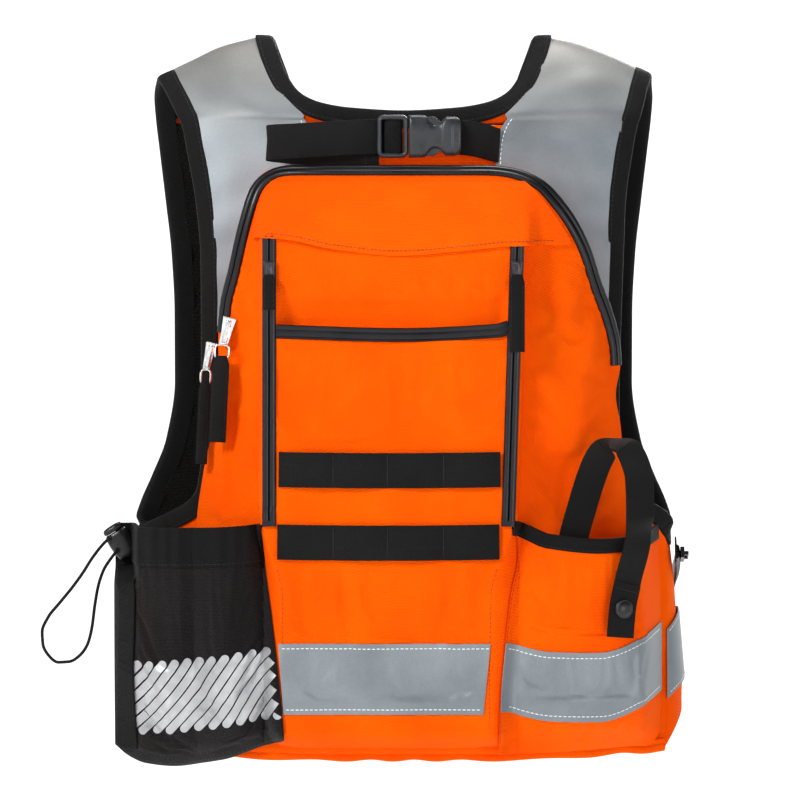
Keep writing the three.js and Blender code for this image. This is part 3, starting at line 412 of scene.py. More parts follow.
ORANGE = orange_cloth()
TAPE = reflective_tape()
LOAD_WEB = webbing_cloth("load_webbing", (1.25, 1.9, 0.24))
SOFT_WEB = webbing_cloth("soft_webbing", (1.6, 1.1, 0.2))
GROSGRAIN = webbing_cloth("grosgrain", (7.0, 0.95, 0.2), (0.0075, 0.0071, 0.0073), (0.004, 0.0038, 0.004))
KNIT = webbing_cloth("knit_band", (1.3, 1.3, 0.22), (0.0078, 0.0075, 0.0082), (0.0045, 0.0043, 0.0047))
SPACER = spacer_mesh()
MESH = pocket_mesh()
COATED = coated_tape()
BUCKLE_PLASTIC = moulded_plastic("buckle_plastic", (0.026, 0.028, 0.032), (0.036, 0.039, 0.044), 0.33)
BLACK_PLASTIC = moulded_plastic("black_plastic", (0.007, 0.0075, 0.008), (0.012, 0.0125, 0.0135), 0.3)
CHROME = bright_metal("chrome", (0.82, 0.83, 0.85), (0.62, 0.62, 0.62), 0.17)
DARK_METAL = bright_metal("dark_metal", (0.10, 0.10, 0.11), (0.06, 0.06, 0.07), 0.3)
WHITE_THREAD = sewing_thread("white_thread", (0.62, 0.74, 0.78), (0.80, 0.86, 0.86))
RUST_THREAD = sewing_thread("orange_thread", (0.42, 0.04, 0.004), (0.26, 0.025, 0.004))
BLACK_THREAD = sewing_thread("black_thread", (0.022, 0.021, 0.021), (0.011, 0.0105, 0.011))
SILVER_PRINT = silver_print()
ELASTIC = webbing_cloth("elastic_braid", (1.4, 1.1, 0.2), (0.016, 0.015, 0.015), (0.01, 0.0095, 0.0095))

# ---- Making pieces ----

SHARP = math.radians(48)
BACKWARD = (0, -1.0, 0)  # the way the pack faces


def piece(name, points, faces, material, body, slot, threads=None, replaces=()):
    """A named piece from points in millimetres that moves with a body."""
    mesh = bpy.data.meshes.new(name)
    flat = np.asarray(points, float).reshape(-1, 3) * MM
    mesh.from_pydata(flat.tolist(), [], [list(map(int, face)) for face in faces])
    if threads is not None:
        attribute = mesh.attributes.new("thread", "FLOAT_VECTOR", "POINT")
        attribute.data.foreach_set("vector", np.asarray(threads, np.float32).ravel())
    bm = bmesh.new()
    bm.from_mesh(mesh)
    bmesh.ops.recalc_face_normals(bm, faces=bm.faces)
    bm.to_mesh(mesh)
    bm.free()
    mesh.materials.append(material)
    mesh.shade_smooth()
    mesh.set_sharp_from_angle(angle=SHARP)
    made = bpy.data.objects.new(name, mesh)
    bpy.context.scene.collection.objects.link(made)
    if body is not None:
        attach(made, body)
    if replaces:
        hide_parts(*replaces)
    return made


def quads(index):
    """The four corners of each cell of an array of point numbers."""
    corners = [index[:-1, :-1], index[:-1, 1:], index[1:, 1:], index[1:, :-1]]
    return np.stack(corners, -1).reshape(-1, 4)


def tube_faces(rings, size):
    """The faces of a tube of rings of size points, with both ends capped."""
    index = np.arange(rings * size).reshape(rings, size)
    wrapped = np.concatenate([index, index[:, :1]], axis=1)
    return quads(wrapped).tolist() + [index[0].tolist(), index[-1].tolist()]


def weave_places(grid):
    """Across and along distances of each point of a grid, for the weave."""
    across = np.linalg.norm(np.diff(grid, axis=1), axis=2).cumsum(axis=1)
    across = np.concatenate([np.zeros_like(across[:, :1]), across], axis=1)
    across -= across[:, across.shape[1] // 2][:, None]
    along = np.linalg.norm(np.diff(grid, axis=0), axis=2).cumsum(axis=0)
    along = np.concatenate([np.zeros_like(along[:1]), along], axis=0)
    return np.stack([across, along, 0 * across], -1)


def layer(name, outer, inner, material, slot, body="vest", replaces=()):
    """A closed cloth layer between two equal grids of points."""
    rows, columns = outer.shape[:2]
    index = np.arange(rows * columns).reshape(rows, columns)
    rim = [index[0, :-1], index[:-1, -1], index[-1, :0:-1], index[::-1, 0]]
    border = np.concatenate(rim)
    faces = np.concatenate([
        quads(index),
        quads(index + rows * columns)[:, ::-1],
        quads(np.stack([border, border + rows * columns])),
    ])
    places = weave_places(outer)
    points = np.concatenate([outer.reshape(-1, 3), inner.reshape(-1, 3)])
    threads = np.concatenate([places.reshape(-1, 3)] * 2)
    return piece(name, points, faces, material, body, slot, threads, replaces)


def sweep(name, points, normals, section, material, slot, body="vest", replaces=(), closed=False):
    """A closed section of (side, lift) pairs swept along a path; it may differ at each point."""
    points = np.asarray(points, float)
    if closed:
        along = np.roll(points, -1, axis=0) - np.roll(points, 1, axis=0)
    else:
        along = np.gradient(points, axis=0)
    along = unit(along)
    normals = np.broadcast_to(np.asarray(normals, float), points.shape)
    normals = unit(normals - along * (normals * along).sum(1, keepdims=True))
    side = np.cross(along, normals)
    section = np.broadcast_to(section, (len(points), *np.shape(section)[-2:]))
    rings = points[:, None] + side[:, None] * section[..., :1] + normals[:, None] * section[..., 1:]
    count, size = section.shape[:2]
    index = np.arange(count * size).reshape(count, size)
    wrapped = np.concatenate([index, index[:, :1]], axis=1)
    if closed:
        wrapped = np.concatenate([wrapped, wrapped[:1]])
    faces = quads(wrapped).tolist()
    if not closed:
        faces += [index[0, ::-1].tolist(), index[-1].tolist()]
    far = np.broadcast_to(lengths(points)[:, None], (count, size))
    threads = np.stack([section[..., 0], far, 0 * far], -1)
    return piece(name, rings, faces, material, body, slot, threads, replaces)


def flat_section(width, low, high, corner=0.5):
    """A flat band's section with rounded corners."""
    x, turn = width / 2 - corner, np.linspace(0, math.pi / 2, 3)
    ends = []
    for sx, sy, start in ((1, 1, 0), (-1, 1, 1), (-1, -1, 2), (1, -1, 3)):
        y = (high - corner) if sy > 0 else (low + corner)
        angle = turn + start * math.pi / 2
        ends += [(sx * x + corner * math.cos(a), y + corner * math.sin(a)) for a in angle]
    return np.array(ends)


def zip_section(width):
    """Two coated lips that meet over a groove."""
    half = width / 2
    right = [
        (0.25, 1.3), (0.8, 1.95), (1.8, 2.25), (half - 1.6, 2.0), (half - 0.6, 1.4), (half, 0.6),
        (half, -0.4),
    ]
    left = [(-x, y) for x, y in reversed(right)]
    return np.array(left + [(0, 0.4)] + right)


def stitches(name, points, normals, material, slot, pitch=3.4, length=2.4, radius=0.32, body="vest"):
    """A line of sewn stitches on a surface, each one a small flattened capsule."""
    points = np.asarray(points, float)
    normals = np.broadcast_to(np.asarray(normals, float), points.shape)
    at = lengths(points)
    middles = np.arange(pitch / 2, at[-1], pitch)

    def pick(rows, where):
        return np.stack([np.interp(where, at, rows[:, k]) for k in range(3)], -1)

    along = unit(pick(points, middles + 0.5) - pick(points, middles - 0.5))
    normal = unit(pick(normals, middles))
    side = np.cross(along, normal)
    rings = ((-0.5, 0.4), (-0.32, 1), (0.32, 1), (0.5, 0.4))
    turns = np.linspace(0, 2 * math.pi, 6, endpoint=False)
    rows = []
    for place, scale in rings:
        for turn in turns:
            offset = along * place * length + side * radius * scale * math.cos(turn)
            rows.append(offset + normal * radius * scale * (0.7 * math.sin(turn) + 0.35))
    body_points = pick(points, middles)[:, None] + np.stack(rows, 1)
    one = tube_faces(len(rings), len(turns))
    faces = [[len(rows) * k + v for v in face] for k in range(len(middles)) for face in one]
    return piece(name, body_points, faces, material, body, slot)


def soft_web(name, rows, section, body="vest", replaces=(), step=1.5):
    """Soft webbing along rows of a point and its normal."""
    path = smooth_path(rows, step)
    return sweep(name, path[:, :3], path[:, 3:], section, SOFT_WEB, "webbing", body, replaces)


def sew(name, cloth, x, z, lift, material, slot, **style):
    """A line of stitches on a cloth, over the points (x, z)."""
    stitches(name, cloth.at(x, z, lift), cloth.normal(x, z), material, slot, **style)


# ---- The shape of the vest, as the CAD frame has it ----

NECK_Z = -65
HEM_BACK = -517
HEM_FRONT = -498
SIDE_X = 190
ZIP_HALF = 7
PANEL = 3
LINING = 3.2
FABRIC = 1.4

back_depth = through(
    (-57, 54), (-80, 65), (-100, 71), (-150, 80), (-200, 84), (-300, 83), (-400, 78), (-517, 82)
)
back_round = through((-57, 0.0006), (-100, 0.001), (-200, 0.0012))
front_depth = through((-60, 58), (-120, 80), (-180, 92), (-300, 97), (-400, 96), (-500, 92))
front_round = through((-60, 0.0008), (-150, 0.0013), (-300, 0.0016))
back_left = through(
    (-65, -149.5), (-76, -147.5), (-105, -142.5), (-147, -136.5), (-211, -136), (-300, -136),
    (-330, -139.5), (-346, -150), (-358, -172), (-367, -SIDE_X), (-517, -SIDE_X),
)
back_right = through(
    (-65, 158.5), (-90, 154.5), (-120, 150.5), (-174, 148.5), (-260, 146), (-300, 147),
    (-322, 152), (-342, 167), (-356, 187), (-370, SIDE_X), (-517, SIDE_X),
)
front_arm = through(
    (-62, 171), (-120, 165), (-160, 161), (-211, 159), (-259, 159), (-305, 167),
    (-340, 182), (-356, 188), (-370, SIDE_X), (-500, SIDE_X),
)
front_opening = through((-62, 84), (-85, 66), (-125, 40), (-165, 15), (-182, ZIP_HALF), (-500, ZIP_HALF))


def back_y(x, z):
    return back_round(z) * x * x - back_depth(z)


def front_y(x, z):
    return front_depth(z) - front_round(z) * x * x


def lifted(surface, x, z, lift, outward=-1):
    """The points (x, z) of a surface y(x, z), lifted off it; outward is -1 on the back."""
    step = 0.5
    slope_x = (surface(x + step, z) - surface(x - step, z)) / (2 * step)
    slope_z = (surface(x, z + step) - surface(x, z - step)) / (2 * step)
    normal = unit(np.stack([-slope_x, 1 + 0 * slope_x, -slope_z], -1)) * outward
    return np.stack([x + 0 * z, surface(x, z), z + 0 * x], -1) + normal * np.expand_dims(lift + 0 * x, -1)


class Outline:
    """A four-sided outline in x and z, as the CAD's layers have."""

    def __init__(self, left, right, high, low, top=None, bottom=None):
        self.left, self.right, self.high, self.low = left, right, high, low
        self.top = high if top is None else top
        self.bottom = low if bottom is None else bottom

    def grid(self, columns, rows):
        """x, z and the shares across and down of an even grid."""
        u, v = np.meshgrid(np.linspace(0, 1, columns + 1), np.linspace(0, 1, rows + 1))
        height = mix(self.high, self.low, v)
        x = mix(value(self.left, height), value(self.right, height), u)
        return x, mix(value(self.top, x), value(self.bottom, x), v)

    def shares(self, x, z):
        top, bottom = value(self.top, x), value(self.bottom, x)
        v = (top - z) / (top - bottom)
        height = mix(self.high, self.low, v)
        left, right = value(self.left, height), value(self.right, height)
        return (x - left) / (right - left), v


class Cloth:
    """A grid of points on an outline that other pieces can be placed on by their x and z."""

    def __init__(self, outline, points):
        self.outline, self.points = outline, points
        rows = np.gradient(points, axis=0)
        columns = np.gradient(points, axis=1)
        self.normals = unit(np.cross(rows, columns))
        if (self.normals[..., 1] > 0).mean() > 0.5:
            self.normals = -self.normals

    def sample(self, grid, u, v):
        rows, columns = grid.shape[0] - 1, grid.shape[1] - 1
        c, r = np.clip(u, 0, 1) * columns, np.clip(v, 0, 1) * rows
        i, j = np.minimum(r.astype(int), rows - 1), np.minimum(c.astype(int), columns - 1)
        s, t = (r - i)[..., None], (c - j)[..., None]
        upper = mix(grid[i, j], grid[i, j + 1], t)
        return mix(upper, mix(grid[i + 1, j], grid[i + 1, j + 1], t), s)

    def at(self, x, z, lift=0.0):
        u, v = self.outline.shares(np.asarray(x, float), np.asarray(z, float))
        return self.at_share(u, v, lift)

    def at_share(self, u, v, lift=0.0):
        u, v = np.broadcast_arrays(np.asarray(u, float), np.asarray(v, float))
        lift = np.expand_dims(lift + 0 * u, -1)
        return self.sample(self.points, u, v) + self.normal_share(u, v) * lift

    def normal(self, x, z):
        return self.normal_share(*self.outline.shares(np.asarray(x, float), np.asarray(z, float)))

    def normal_share(self, u, v):
        u, v = np.broadcast_arrays(np.asarray(u, float), np.asarray(v, float))
        return unit(self.sample(self.normals, u, v))


# ---- Cloth simulation ----

SETTLE_FRAMES = 18


def settle(cloth, free, growth, push=0.0, most=4.0, gravity=0.3):
    """Lets a cloth sag and buckle where it is free, from 0 held to 1 loose.

    growth is how much more cloth there is than room, push swells it outwards, and no point moves
    more than most millimetres.
    """
    rows, columns = cloth.points.shape[:2]
    start = cloth.points.reshape(-1, 3) * MM
    mesh = bpy.data.meshes.new("settling")
    faces = quads(np.arange(rows * columns).reshape(rows, columns))
    mesh.from_pydata(start.tolist(), [], faces.tolist())
    made = bpy.data.objects.new("settling", mesh)
    bpy.context.scene.collection.objects.link(made)
    held = made.vertex_groups.new(name="held")
    for number, loose in enumerate(np.clip(free, 0, 1).ravel().tolist()):
        held.add([number], 1 - loose, "REPLACE")
    modifier = made.modifiers.new("cloth", "CLOTH")
    settings = modifier.settings
    settings.quality = 6
    settings.mass = 0.1
    settings.tension_stiffness = 12
    settings.compression_stiffness = 12
    settings.shear_stiffness = 6
    settings.bending_stiffness = 1.5
    settings.vertex_group_mass = "held"
    settings.shrink_min = -growth
    settings.shrink_max = -growth
    settings.use_pressure = push > 0
    settings.uniform_pressure_force = push
    settings.effector_weights.gravity = gravity
    modifier.collision_settings.use_collision = False
    scene = bpy.context.scene
    for number in range(1, SETTLE_FRAMES + 1):
        scene.frame_set(number)
    evaluated = made.evaluated_get(bpy.context.evaluated_depsgraph_get())
    result = np.zeros(len(start) * 3)
    evaluated.data.vertices.foreach_get("co", result)
    scene.frame_set(1)
    bpy.data.objects.remove(made)
    bpy.data.meshes.remove(mesh)
    moved = (result.reshape(-1, 3) - start) / MM
    far = np.linalg.norm(moved, axis=1, keepdims=True)
    moved *= most * np.tanh(far / most) / np.maximum(far, 1e-9)
    return Cloth(cloth.outline, cloth.points + moved.reshape(rows, columns, 3))


# ---- The elastic loop, and helpers that give CAD parts their material and moulded edges ----

CORD_RADIUS = 1.1
CORD_ROUTE = (
    (-0.212, -0.0646, -0.363), (-0.217, -0.065, -0.368), (-0.224, -0.065, -0.377),
    (-0.231, -0.065, -0.388), (-0.239, -0.064, -0.399), (-0.248, -0.063, -0.410),
    (-0.256, -0.062, -0.420), (-0.2605, -0.061, -0.431), (-0.260, -0.060, -0.440),
    (-0.256, -0.059, -0.448), (-0.249, -0.059, -0.453), (-0.241, -0.059, -0.4525),
    (-0.233, -0.059, -0.4475), (-0.2275, -0.060, -0.439), (-0.2245, -0.061, -0.427),
    (-0.2225, -0.062, -0.412), (-0.220, -0.063, -0.398), (-0.216, -0.064, -0.386),
    (-0.211, -0.065, -0.378), (-0.206, -0.0646, -0.3715),
)


def add_elastic_loop():
    """The draw cord that hangs in a loop from the cord lock on the mesh pocket."""
    line = smooth_path(np.array(CORD_ROUTE) / MM, 1.0)
    turns = np.linspace(0, 2 * math.pi, 12, endpoint=False)
    ring = CORD_RADIUS * np.stack([np.cos(turns), np.sin(turns)], -1)
    loop = sweep(
        "elastic_draw_loop", line, BACKWARD, ring, ELASTIC, "elastic_cord", replaces=["elastic_loop"]
    )
    length = lengths(line)[-1] * MM


add_elastic_loop()


def repaint(node, material):
    """Gives a carried-over CAD part its material."""
    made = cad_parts[node]
    made.data.materials.clear()
    made.data.materials.append(material)
    return made


def moulded(node, material, voxel, rounds):
    """Gives a CAD part its moulded, rounded edges and its material."""
    made = repaint(node, material)
    remesh = made.modifiers.new("skin", "REMESH")
    remesh.mode = "VOXEL"
    remesh.voxel_size = voxel * MM
    remesh.use_smooth_shade = True
    soften = made.modifiers.new("soften", "SMOOTH")
    soften.factor = 0.5
    soften.iterations = rounds


# ---- Vest body ----


def add_back_panel():
    shell = Outline(back_left, back_right, NECK_Z - 0.8, HEM_BACK)
    x, z = shell.grid(90, 110)
    uneven = 0.5 * waves(x, z, 3, 60)
    outer = lifted(back_y, x, z, uneven)
    inner = lifted(back_y, x, z, uneven - PANEL)
    made = layer("back_shell", outer, inner, ORANGE, "orange_fabric", replaces=["back_panel"])
    inset = Outline(lambda t: back_left(t) + 1, lambda t: back_right(t) - 1, NECK_Z - 2, HEM_BACK + 4)
    x, z = inset.grid(80, 100)
    soft = 0.5 * waves(x, z, 4, 34)
    outer = lifted(back_y, x, z, -PANEL - 1.2 + 0.3 * soft)
    inner = lifted(back_y, x, z, -PANEL - 1.2 - LINING + soft)
    made = layer("back_mesh_lining", outer, inner, SPACER, "spacer_mesh", replaces=["back_lining"])


def add_front_panel(name, side):
    shell = Outline(
        lambda t: side * front_arm(t), lambda t: side * front_opening(t), NECK_Z + 2, HEM_FRONT
    )
    x, z = shell.grid(50, 110)
    uneven = 0.7 * waves(x, z, 11 + side, 70)
    outer = lifted(front_y, x, z, uneven, 1)
    inner = lifted(front_y, x, z, uneven - PANEL, 1)
    made = layer(
        f"front_shell_{name}", outer, inner, ORANGE, "orange_fabric",
        replaces=[f"front_panel_{name}"],
    )
    inset = Outline(
        lambda t: side * (front_arm(t) - 1), lambda t: side * (front_opening(t) + 2),
        NECK_Z, HEM_FRONT + 4,
    )
    x, z = inset.grid(46, 100)
    soft = 0.6 * waves(x, z, 21 + side, 30)
    outer = lifted(front_y, x, z, -PANEL - 1.2 + 0.3 * soft, 1)
    inner = lifted(front_y, x, z, -PANEL - 1.2 - LINING + soft, 1)
    made = layer(
        f"front_mesh_lining_{name}", outer, inner, SPACER, "spacer_mesh",
        replaces=[f"front_lining_{name}"],
    )


HEM_RISE = 18  # how much higher the hem is at the hip
side_bulge = through((-363, 3), (-400, 8), (-466, 14))
SIDE_TOP = -363


def side_point(side, turn, z, lift):
    """The side panel wraps from the back seam, turn 0, to the front seam, turn 1."""
    back, front = back_y(SIDE_X, z), front_y(SIDE_X, z)
    angle = (turn - 0.5) * math.pi
    reach = side_bulge(z) + lift
    x = SIDE_X - 0.8 + reach * np.cos(angle)
    y = (back + front) / 2 + ((front - back) / 2 + lift) * np.sin(angle)
    return np.stack([side * x, y, z], -1)


def side_grid(start, end, top, bottom, columns, rows):
    turn, v = np.meshgrid(np.linspace(start, end, columns + 1), np.linspace(0, 1, rows + 1))
    return turn, mix(top(turn), bottom(turn), v)


def add_side_panel(name, side):
    def top(turn):
        return SIDE_TOP - 6 * np.sin(turn * math.pi)

    def hem(turn):
        return mix(HEM_BACK, HEM_FRONT, turn) + HEM_RISE * np.sin(turn * math.pi)

    turn, z = side_grid(0, 1, top, hem, 56, 44)
    uneven = 0.8 * waves(turn * 120, z, 31 + side, 50) * np.sin(turn * math.pi)
    outer = side_point(side, turn, z, uneven)
    inner = side_point(side, turn, z, uneven - PANEL)
    made = layer(
        f"side_shell_{name}", outer, inner, ORANGE, "orange_fabric",
        replaces=[f"side_panel_{name}"],
    )


# ---- Shoulder yokes and their tape ----

NECK_RAIL = (
    (3, -58, NECK_Z), (38, -56, -63), (62, -53, -59), (84, -43, -47), (97, -27, -26),
    (104.5, 0, -3), (102, 28, -12), (95, 44, -32), (84, 52, -62),
)
LEFT_ARM_RAIL = (
    (149.5, -43, NECK_Z), (151, -41, -61), (153, -38, -57), (157, -31, -49), (163, -18, -38),
    (169, 0, -29), (171, 14, -34), (172, 25, -45), (171, 34, -62),
)
RIGHT_ARM_RAIL = (
    (158.5, -41, NECK_Z), (160, -39, -61), (161.5, -37, -57), (164, -30, -48), (167.5, -18, -36),
    (171, 0, -27), (171.5, 14, -34), (172, 25, -45), (171, 34, -62),
)
YOKE_CROWN = 3
yoke_turn = through((0, 20), (0.25, 25), (0.45, 45), (0.6, 85), (0.75, 130), (1, 165))


def rail(points):
    """A curve through points, found by its share of the way."""
    steps = np.linspace(0, 1, len(points))
    curves = [through(*zip(steps, axis)) for axis in zip(*points)]
    return lambda t: np.stack([curve(t) for curve in curves], -1)


def yoke_point(side, s, t, lift):
    """The yoke at share s from the neck to the arm and t from the back to the front."""
    mirror = np.array([side, 1, 1])
    neck = rail(NECK_RAIL)(t) * mirror
    arm = rail(LEFT_ARM_RAIL if side < 0 else RIGHT_ARM_RAIL)(t) * mirror
    turn = np.radians(yoke_turn(t))
    normal = unit(np.stack([side * 0.25 * np.sin(turn), -np.cos(turn), np.sin(turn)], -1))
    rise = lift + YOKE_CROWN * 4 * s * (1 - s)
    return mix(neck, arm, s[..., None]) + normal * rise[..., None]


def add_yoke(name, side):
    s, t = np.meshgrid(np.linspace(0, 1, 31), np.linspace(0, 1, 71))
    outer, inner = yoke_point(side, s, t, 0), yoke_point(side, s, t, -PANEL)
    made = layer(
        f"shoulder_yoke_{name}", outer, inner, ORANGE, "orange_fabric",
        replaces=[f"shoulder_{name}"],
    )
    s, t = np.meshgrid(np.linspace(0.01, 0.99, 31), np.linspace(0.01, 0.99, 71))
    uneven = 0.4 * waves(s * 70, t * 120, 41 + side, 25)
    outer = yoke_point(side, s, t, -PANEL - 0.8)
    inner = yoke_point(side, s, t, uneven - PANEL - 3.4)
    layer(f"shoulder_lining_{name}", outer, inner, SPACER, "spacer_mesh")


tape_back_inner = through((-66, 69), (-99, 64), (-130, 82), (-180, 113), (-210, 133))
tape_yoke_inner = through((0, 0.455), (0.125, 0.3), (0.25, 0.11), (0.36, 0.012))
tape_front_inner = through((-64, 86), (-120, 100), (-170, 104))
tape_front_outer = through((-64, 169), (-110, 158), (-170, 154))
SHOULDER_TAPE_END = -424
TAPE_LIFT = (0.5, 1.3)


def add_shoulder_tape(name, side):
    spread = 0 if side < 0 else 11

    def edge(z):
        return -back_left(z) if side < 0 else back_right(z)

    def back_inner(z):
        reach = tape_back_inner(z) + spread * smoothstep((-z - 66) / 134)
        return np.minimum(reach, edge(z) - 3)

    def flat(surface, outward, inner, outer, start, end, rows, lift):
        u, z = np.meshgrid(np.linspace(0, 1, 25), np.linspace(start, end, rows))
        return lifted(surface, side * mix(inner(z), outer(z), u), z, lift, outward)

    def over(rows, lift):
        u, t = np.meshgrid(np.linspace(0, 1, 25), np.linspace(0.02, 0.98, rows))
        return yoke_point(side, mix(tape_yoke_inner(t), 0.99, u), t, lift)

    def whole(lift):
        grid = np.concatenate([
            flat(back_y, -1, back_inner, lambda z: edge(z) - 1, -210, -68, 46, lift),
            over(60, lift),
            flat(front_y, 1, tape_front_inner, tape_front_outer, -68, SHOULDER_TAPE_END, 96, lift),
        ])
        return relaxed(grid, 6)

    outer = whole(TAPE_LIFT[1])
    inner = whole(TAPE_LIFT[0])
    places = weave_places(outer)
    dents = 0.45 * (1 + waves(places[..., 0], places[..., 1], 51 + side, 42))[..., None]
    out = unit(outer - inner)
    outer, inner = outer + out * dents, inner + out * dents
    made = layer(
        f"shoulder_tape_{name}", outer, inner, TAPE, "reflective_tape",
        replaces=[f"shoulder_reflective_{name}"],
    )
    normals = unit(outer - inner)
    for label, rows, share in (("back", slice(8, 50), 1), ("front", slice(118, None), 23)):
        stitches(
            f"shoulder_stitches_{label}_{name}", outer[rows, share], normals[rows, share],
            WHITE_THREAD, "reflective_tape",
        )


# ---- Bindings ----

BINDING_SECTION = np.array([
    (-3, 1.5), (-2.6, 2.0), (2, 2.1), (7, 1.8), (9.4, 1.0), (10.5, -0.6), (10.6, -2.4), (9.6, -4.2),
    (7.4, -5.2), (2, -6.6), (-2.6, -7.6), (-3, -7.0),
])


def edge_on(surface, outward, x, z):
    x, z = np.array(float(x)), np.array(float(z))
    point = lifted(surface, x, z, 0, outward)
    return [*point, *(lifted(surface, x, z, 1, outward) - point)]


def bind(name, entries, flip, closed, node):
    """A folded ribbed tape round an edge, from rows of a point and its normal."""
    path = smooth_path(entries, 2.2, closed)
    section = BINDING_SECTION * np.array([flip, 1])
    sweep(name, path[:, :3], path[:, 3:], section, GROSGRAIN, "black_fabric", "vest", [node], closed)
    along = unit(np.gradient(path[:, :3], axis=0))
    normal = unit(path[:, 3:] - along * (path[:, 3:] * along).sum(1, keepdims=True))
    seam = path[:, :3] + np.cross(along, normal) * flip * -0.8 + normal * 2.05
    stitches(name + "_stitches", seam, normal, BLACK_THREAD, "black_fabric", radius=0.26)


def add_neck_binding():
    normals = {
        1: (0, -1, 0.3), 2: (0, -1, 0.3), 3: (0.2, -1, 0.7), 4: (0.3, -0.7, 1), 5: (0, -0.1, 1),
        6: (0.3, 0.7, 1), 7: (0.2, 1, 0.6), 8: (0, 1, 0.3),
    }

    def half(side):
        over = []
        for index, (nx, ny, nz) in normals.items():
            x, y, z = NECK_RAIL[index]
            over.append([side * x, y, z, side * nx, ny, nz])
        for z in (-85, -105, -125, -145, -165):
            over.append(edge_on(front_y, 1, side * front_opening(z), z))
        return over

    entries = half(-1)[::-1] + [[0, -58.5, NECK_Z, 0, -1, 0.3]] + half(1)
    bind("neck_edge_binding", entries, -1, False, "neck_binding")


def add_armhole_binding(name, side):
    edge = back_left if side < 0 else back_right
    arm_rail = LEFT_ARM_RAIL if side < 0 else RIGHT_ARM_RAIL
    normals = (
        (0.3, -1, 0.4), (0.3, -1, 0.5), (0.4, -1, 0.8), (0.5, -0.6, 1), (0.4, 0, 1),
        (0.5, 0.6, 1), (0.4, 1, 0.8), (0.3, 1, 0.3),
    )
    entries = [
        edge_on(back_y, -1, edge(z), z) for z in (-356, -342, -328, -300, -255, -205, -160, -120, -85)
    ]
    for (x, y, z), (nx, ny, nz) in zip(arm_rail[1:], normals):
        entries.append([side * x, y, z, side * nx, ny, nz])
    for z in (-85, -120, -160, -205, -255, -300, -328, -345, -356):
        entries.append(edge_on(front_y, 1, side * front_arm(z), z))
    for turn in (0.8, 0.5, 0.2):
        z = SIDE_TOP - 6 * math.sin(turn * math.pi)
        entries.append([*side_point(side, np.array(turn), np.array(z), 0), side, 0, 0])
    bind(f"armhole_edge_binding_{name}", entries, side, True, f"armhole_binding_{name}")


# ---- Pack ----

PACK_TOP = -94.5
PACK_MIDDLE = 5
PACK_FLAT = 55
PACK_EDGE = 5
ZIP_INSET = 3.6
ZIP_WIDTH = 10
pack_depth = through(
    (-94, 84), (-100, 92), (-112, 102), (-130, 108), (-160, 111.5), (-200, 113), (-300, 115),
    (-400, 114), (-450, 113), (-517, 107),
)
pack_left = through(
    (PACK_TOP, -84), (-97, -95), (-103, -104), (-123, -113), (-147, -119.5), (-183, -127.5),
    (-205, -132.5), (-259, -133), (-316, -144), (-355, -149), (-517, -150),
)
pack_right = through(
    (PACK_TOP, 64), (-97, 82), (-103, 94), (-112, 105), (-125, 116), (-147, 130), (-179, 141),
    (-198, 148), (-216, 154), (-236, 156), (-259, 152.5), (-281, 156), (-330, 160), (-400, 164),
    (-517, 164),
)
pack_outline = Outline(pack_left, pack_right, PACK_TOP, HEM_BACK)


def pack_y(x, z):
    beyond = np.maximum(0, np.abs(x - PACK_MIDDLE) - PACK_FLAT)
    return np.minimum(0.005 * beyond * beyond - pack_depth(z), back_y(x, z) - PACK_EDGE)


flap_hem = through(
    (-110, -144), (-85, -145.5), (-50, -152.5), (-3, -157), (40, -154), (76, -150.5), (120, -150)
)
POCKET_TOP = -158
POCKET_BOTTOM = -508
POCKET_PLANE = 120
POCKET_LEAN = 12 / 350
pocket_left = through((-350, -104), (-380, -100), (-508, -98.5))
pocket_right = through((-158, 88), (-300, 84), (-350, 82), (-508, 81))
front_left = through((-350, -101.5), (-374, -93), (-400, -87), (-508, -87))
front_right = through((-158, 86), (-300, 82), (-346, 79.5), (-374, 69), (-400, 63), (-508, 61.5))
CORNER = 14


def pocket_plane(z):
    return POCKET_LEAN * (z - POCKET_TOP) - POCKET_PLANE


def pocket_top(x):
    return flap_hem(x) + 2


def pocket_bottom(x):
    inside = np.minimum(x - pocket_left(POCKET_BOTTOM), pocket_right(POCKET_BOTTOM) - x)
    bend = np.clip(CORNER - inside, 0, CORNER)
    return POCKET_BOTTOM + CORNER - np.sqrt(CORNER * CORNER - bend * bend)


def pocket_y(x, z):
    """The centre pocket's face: flat in front, with gussets down both sides and a soft floor."""
    base = pack_y(x, z) - 1.9
    plane = pocket_plane(z)
    left = (x - pocket_left(z)) / (front_left(z) - pocket_left(z))
    right = (pocket_right(z) - x) / (pocket_right(z) - front_right(z))
    rise = 1 - (1 - np.clip(np.minimum(left, right), 0, 1)) ** 1.5
    rise = rise * mix(0.35, 1, quarter((z - pocket_bottom(x)) / 12))
    return mix(base, plane, rise)


PACK_FOLDS = (
    (5.0, -119, -262, 5, 40, -5), (2.6, -110, -235, 6, 22, 22), (-2.0, -128, -290, 7, 40, -4),
    (6.5, 108, -318, 13, 36, -12), (3.0, 103, -180, 6, 50, 0), (-3.2, 131, -250, 13, 60, 8),
    (2.2, 140, -205, 6, 30, 14),
)


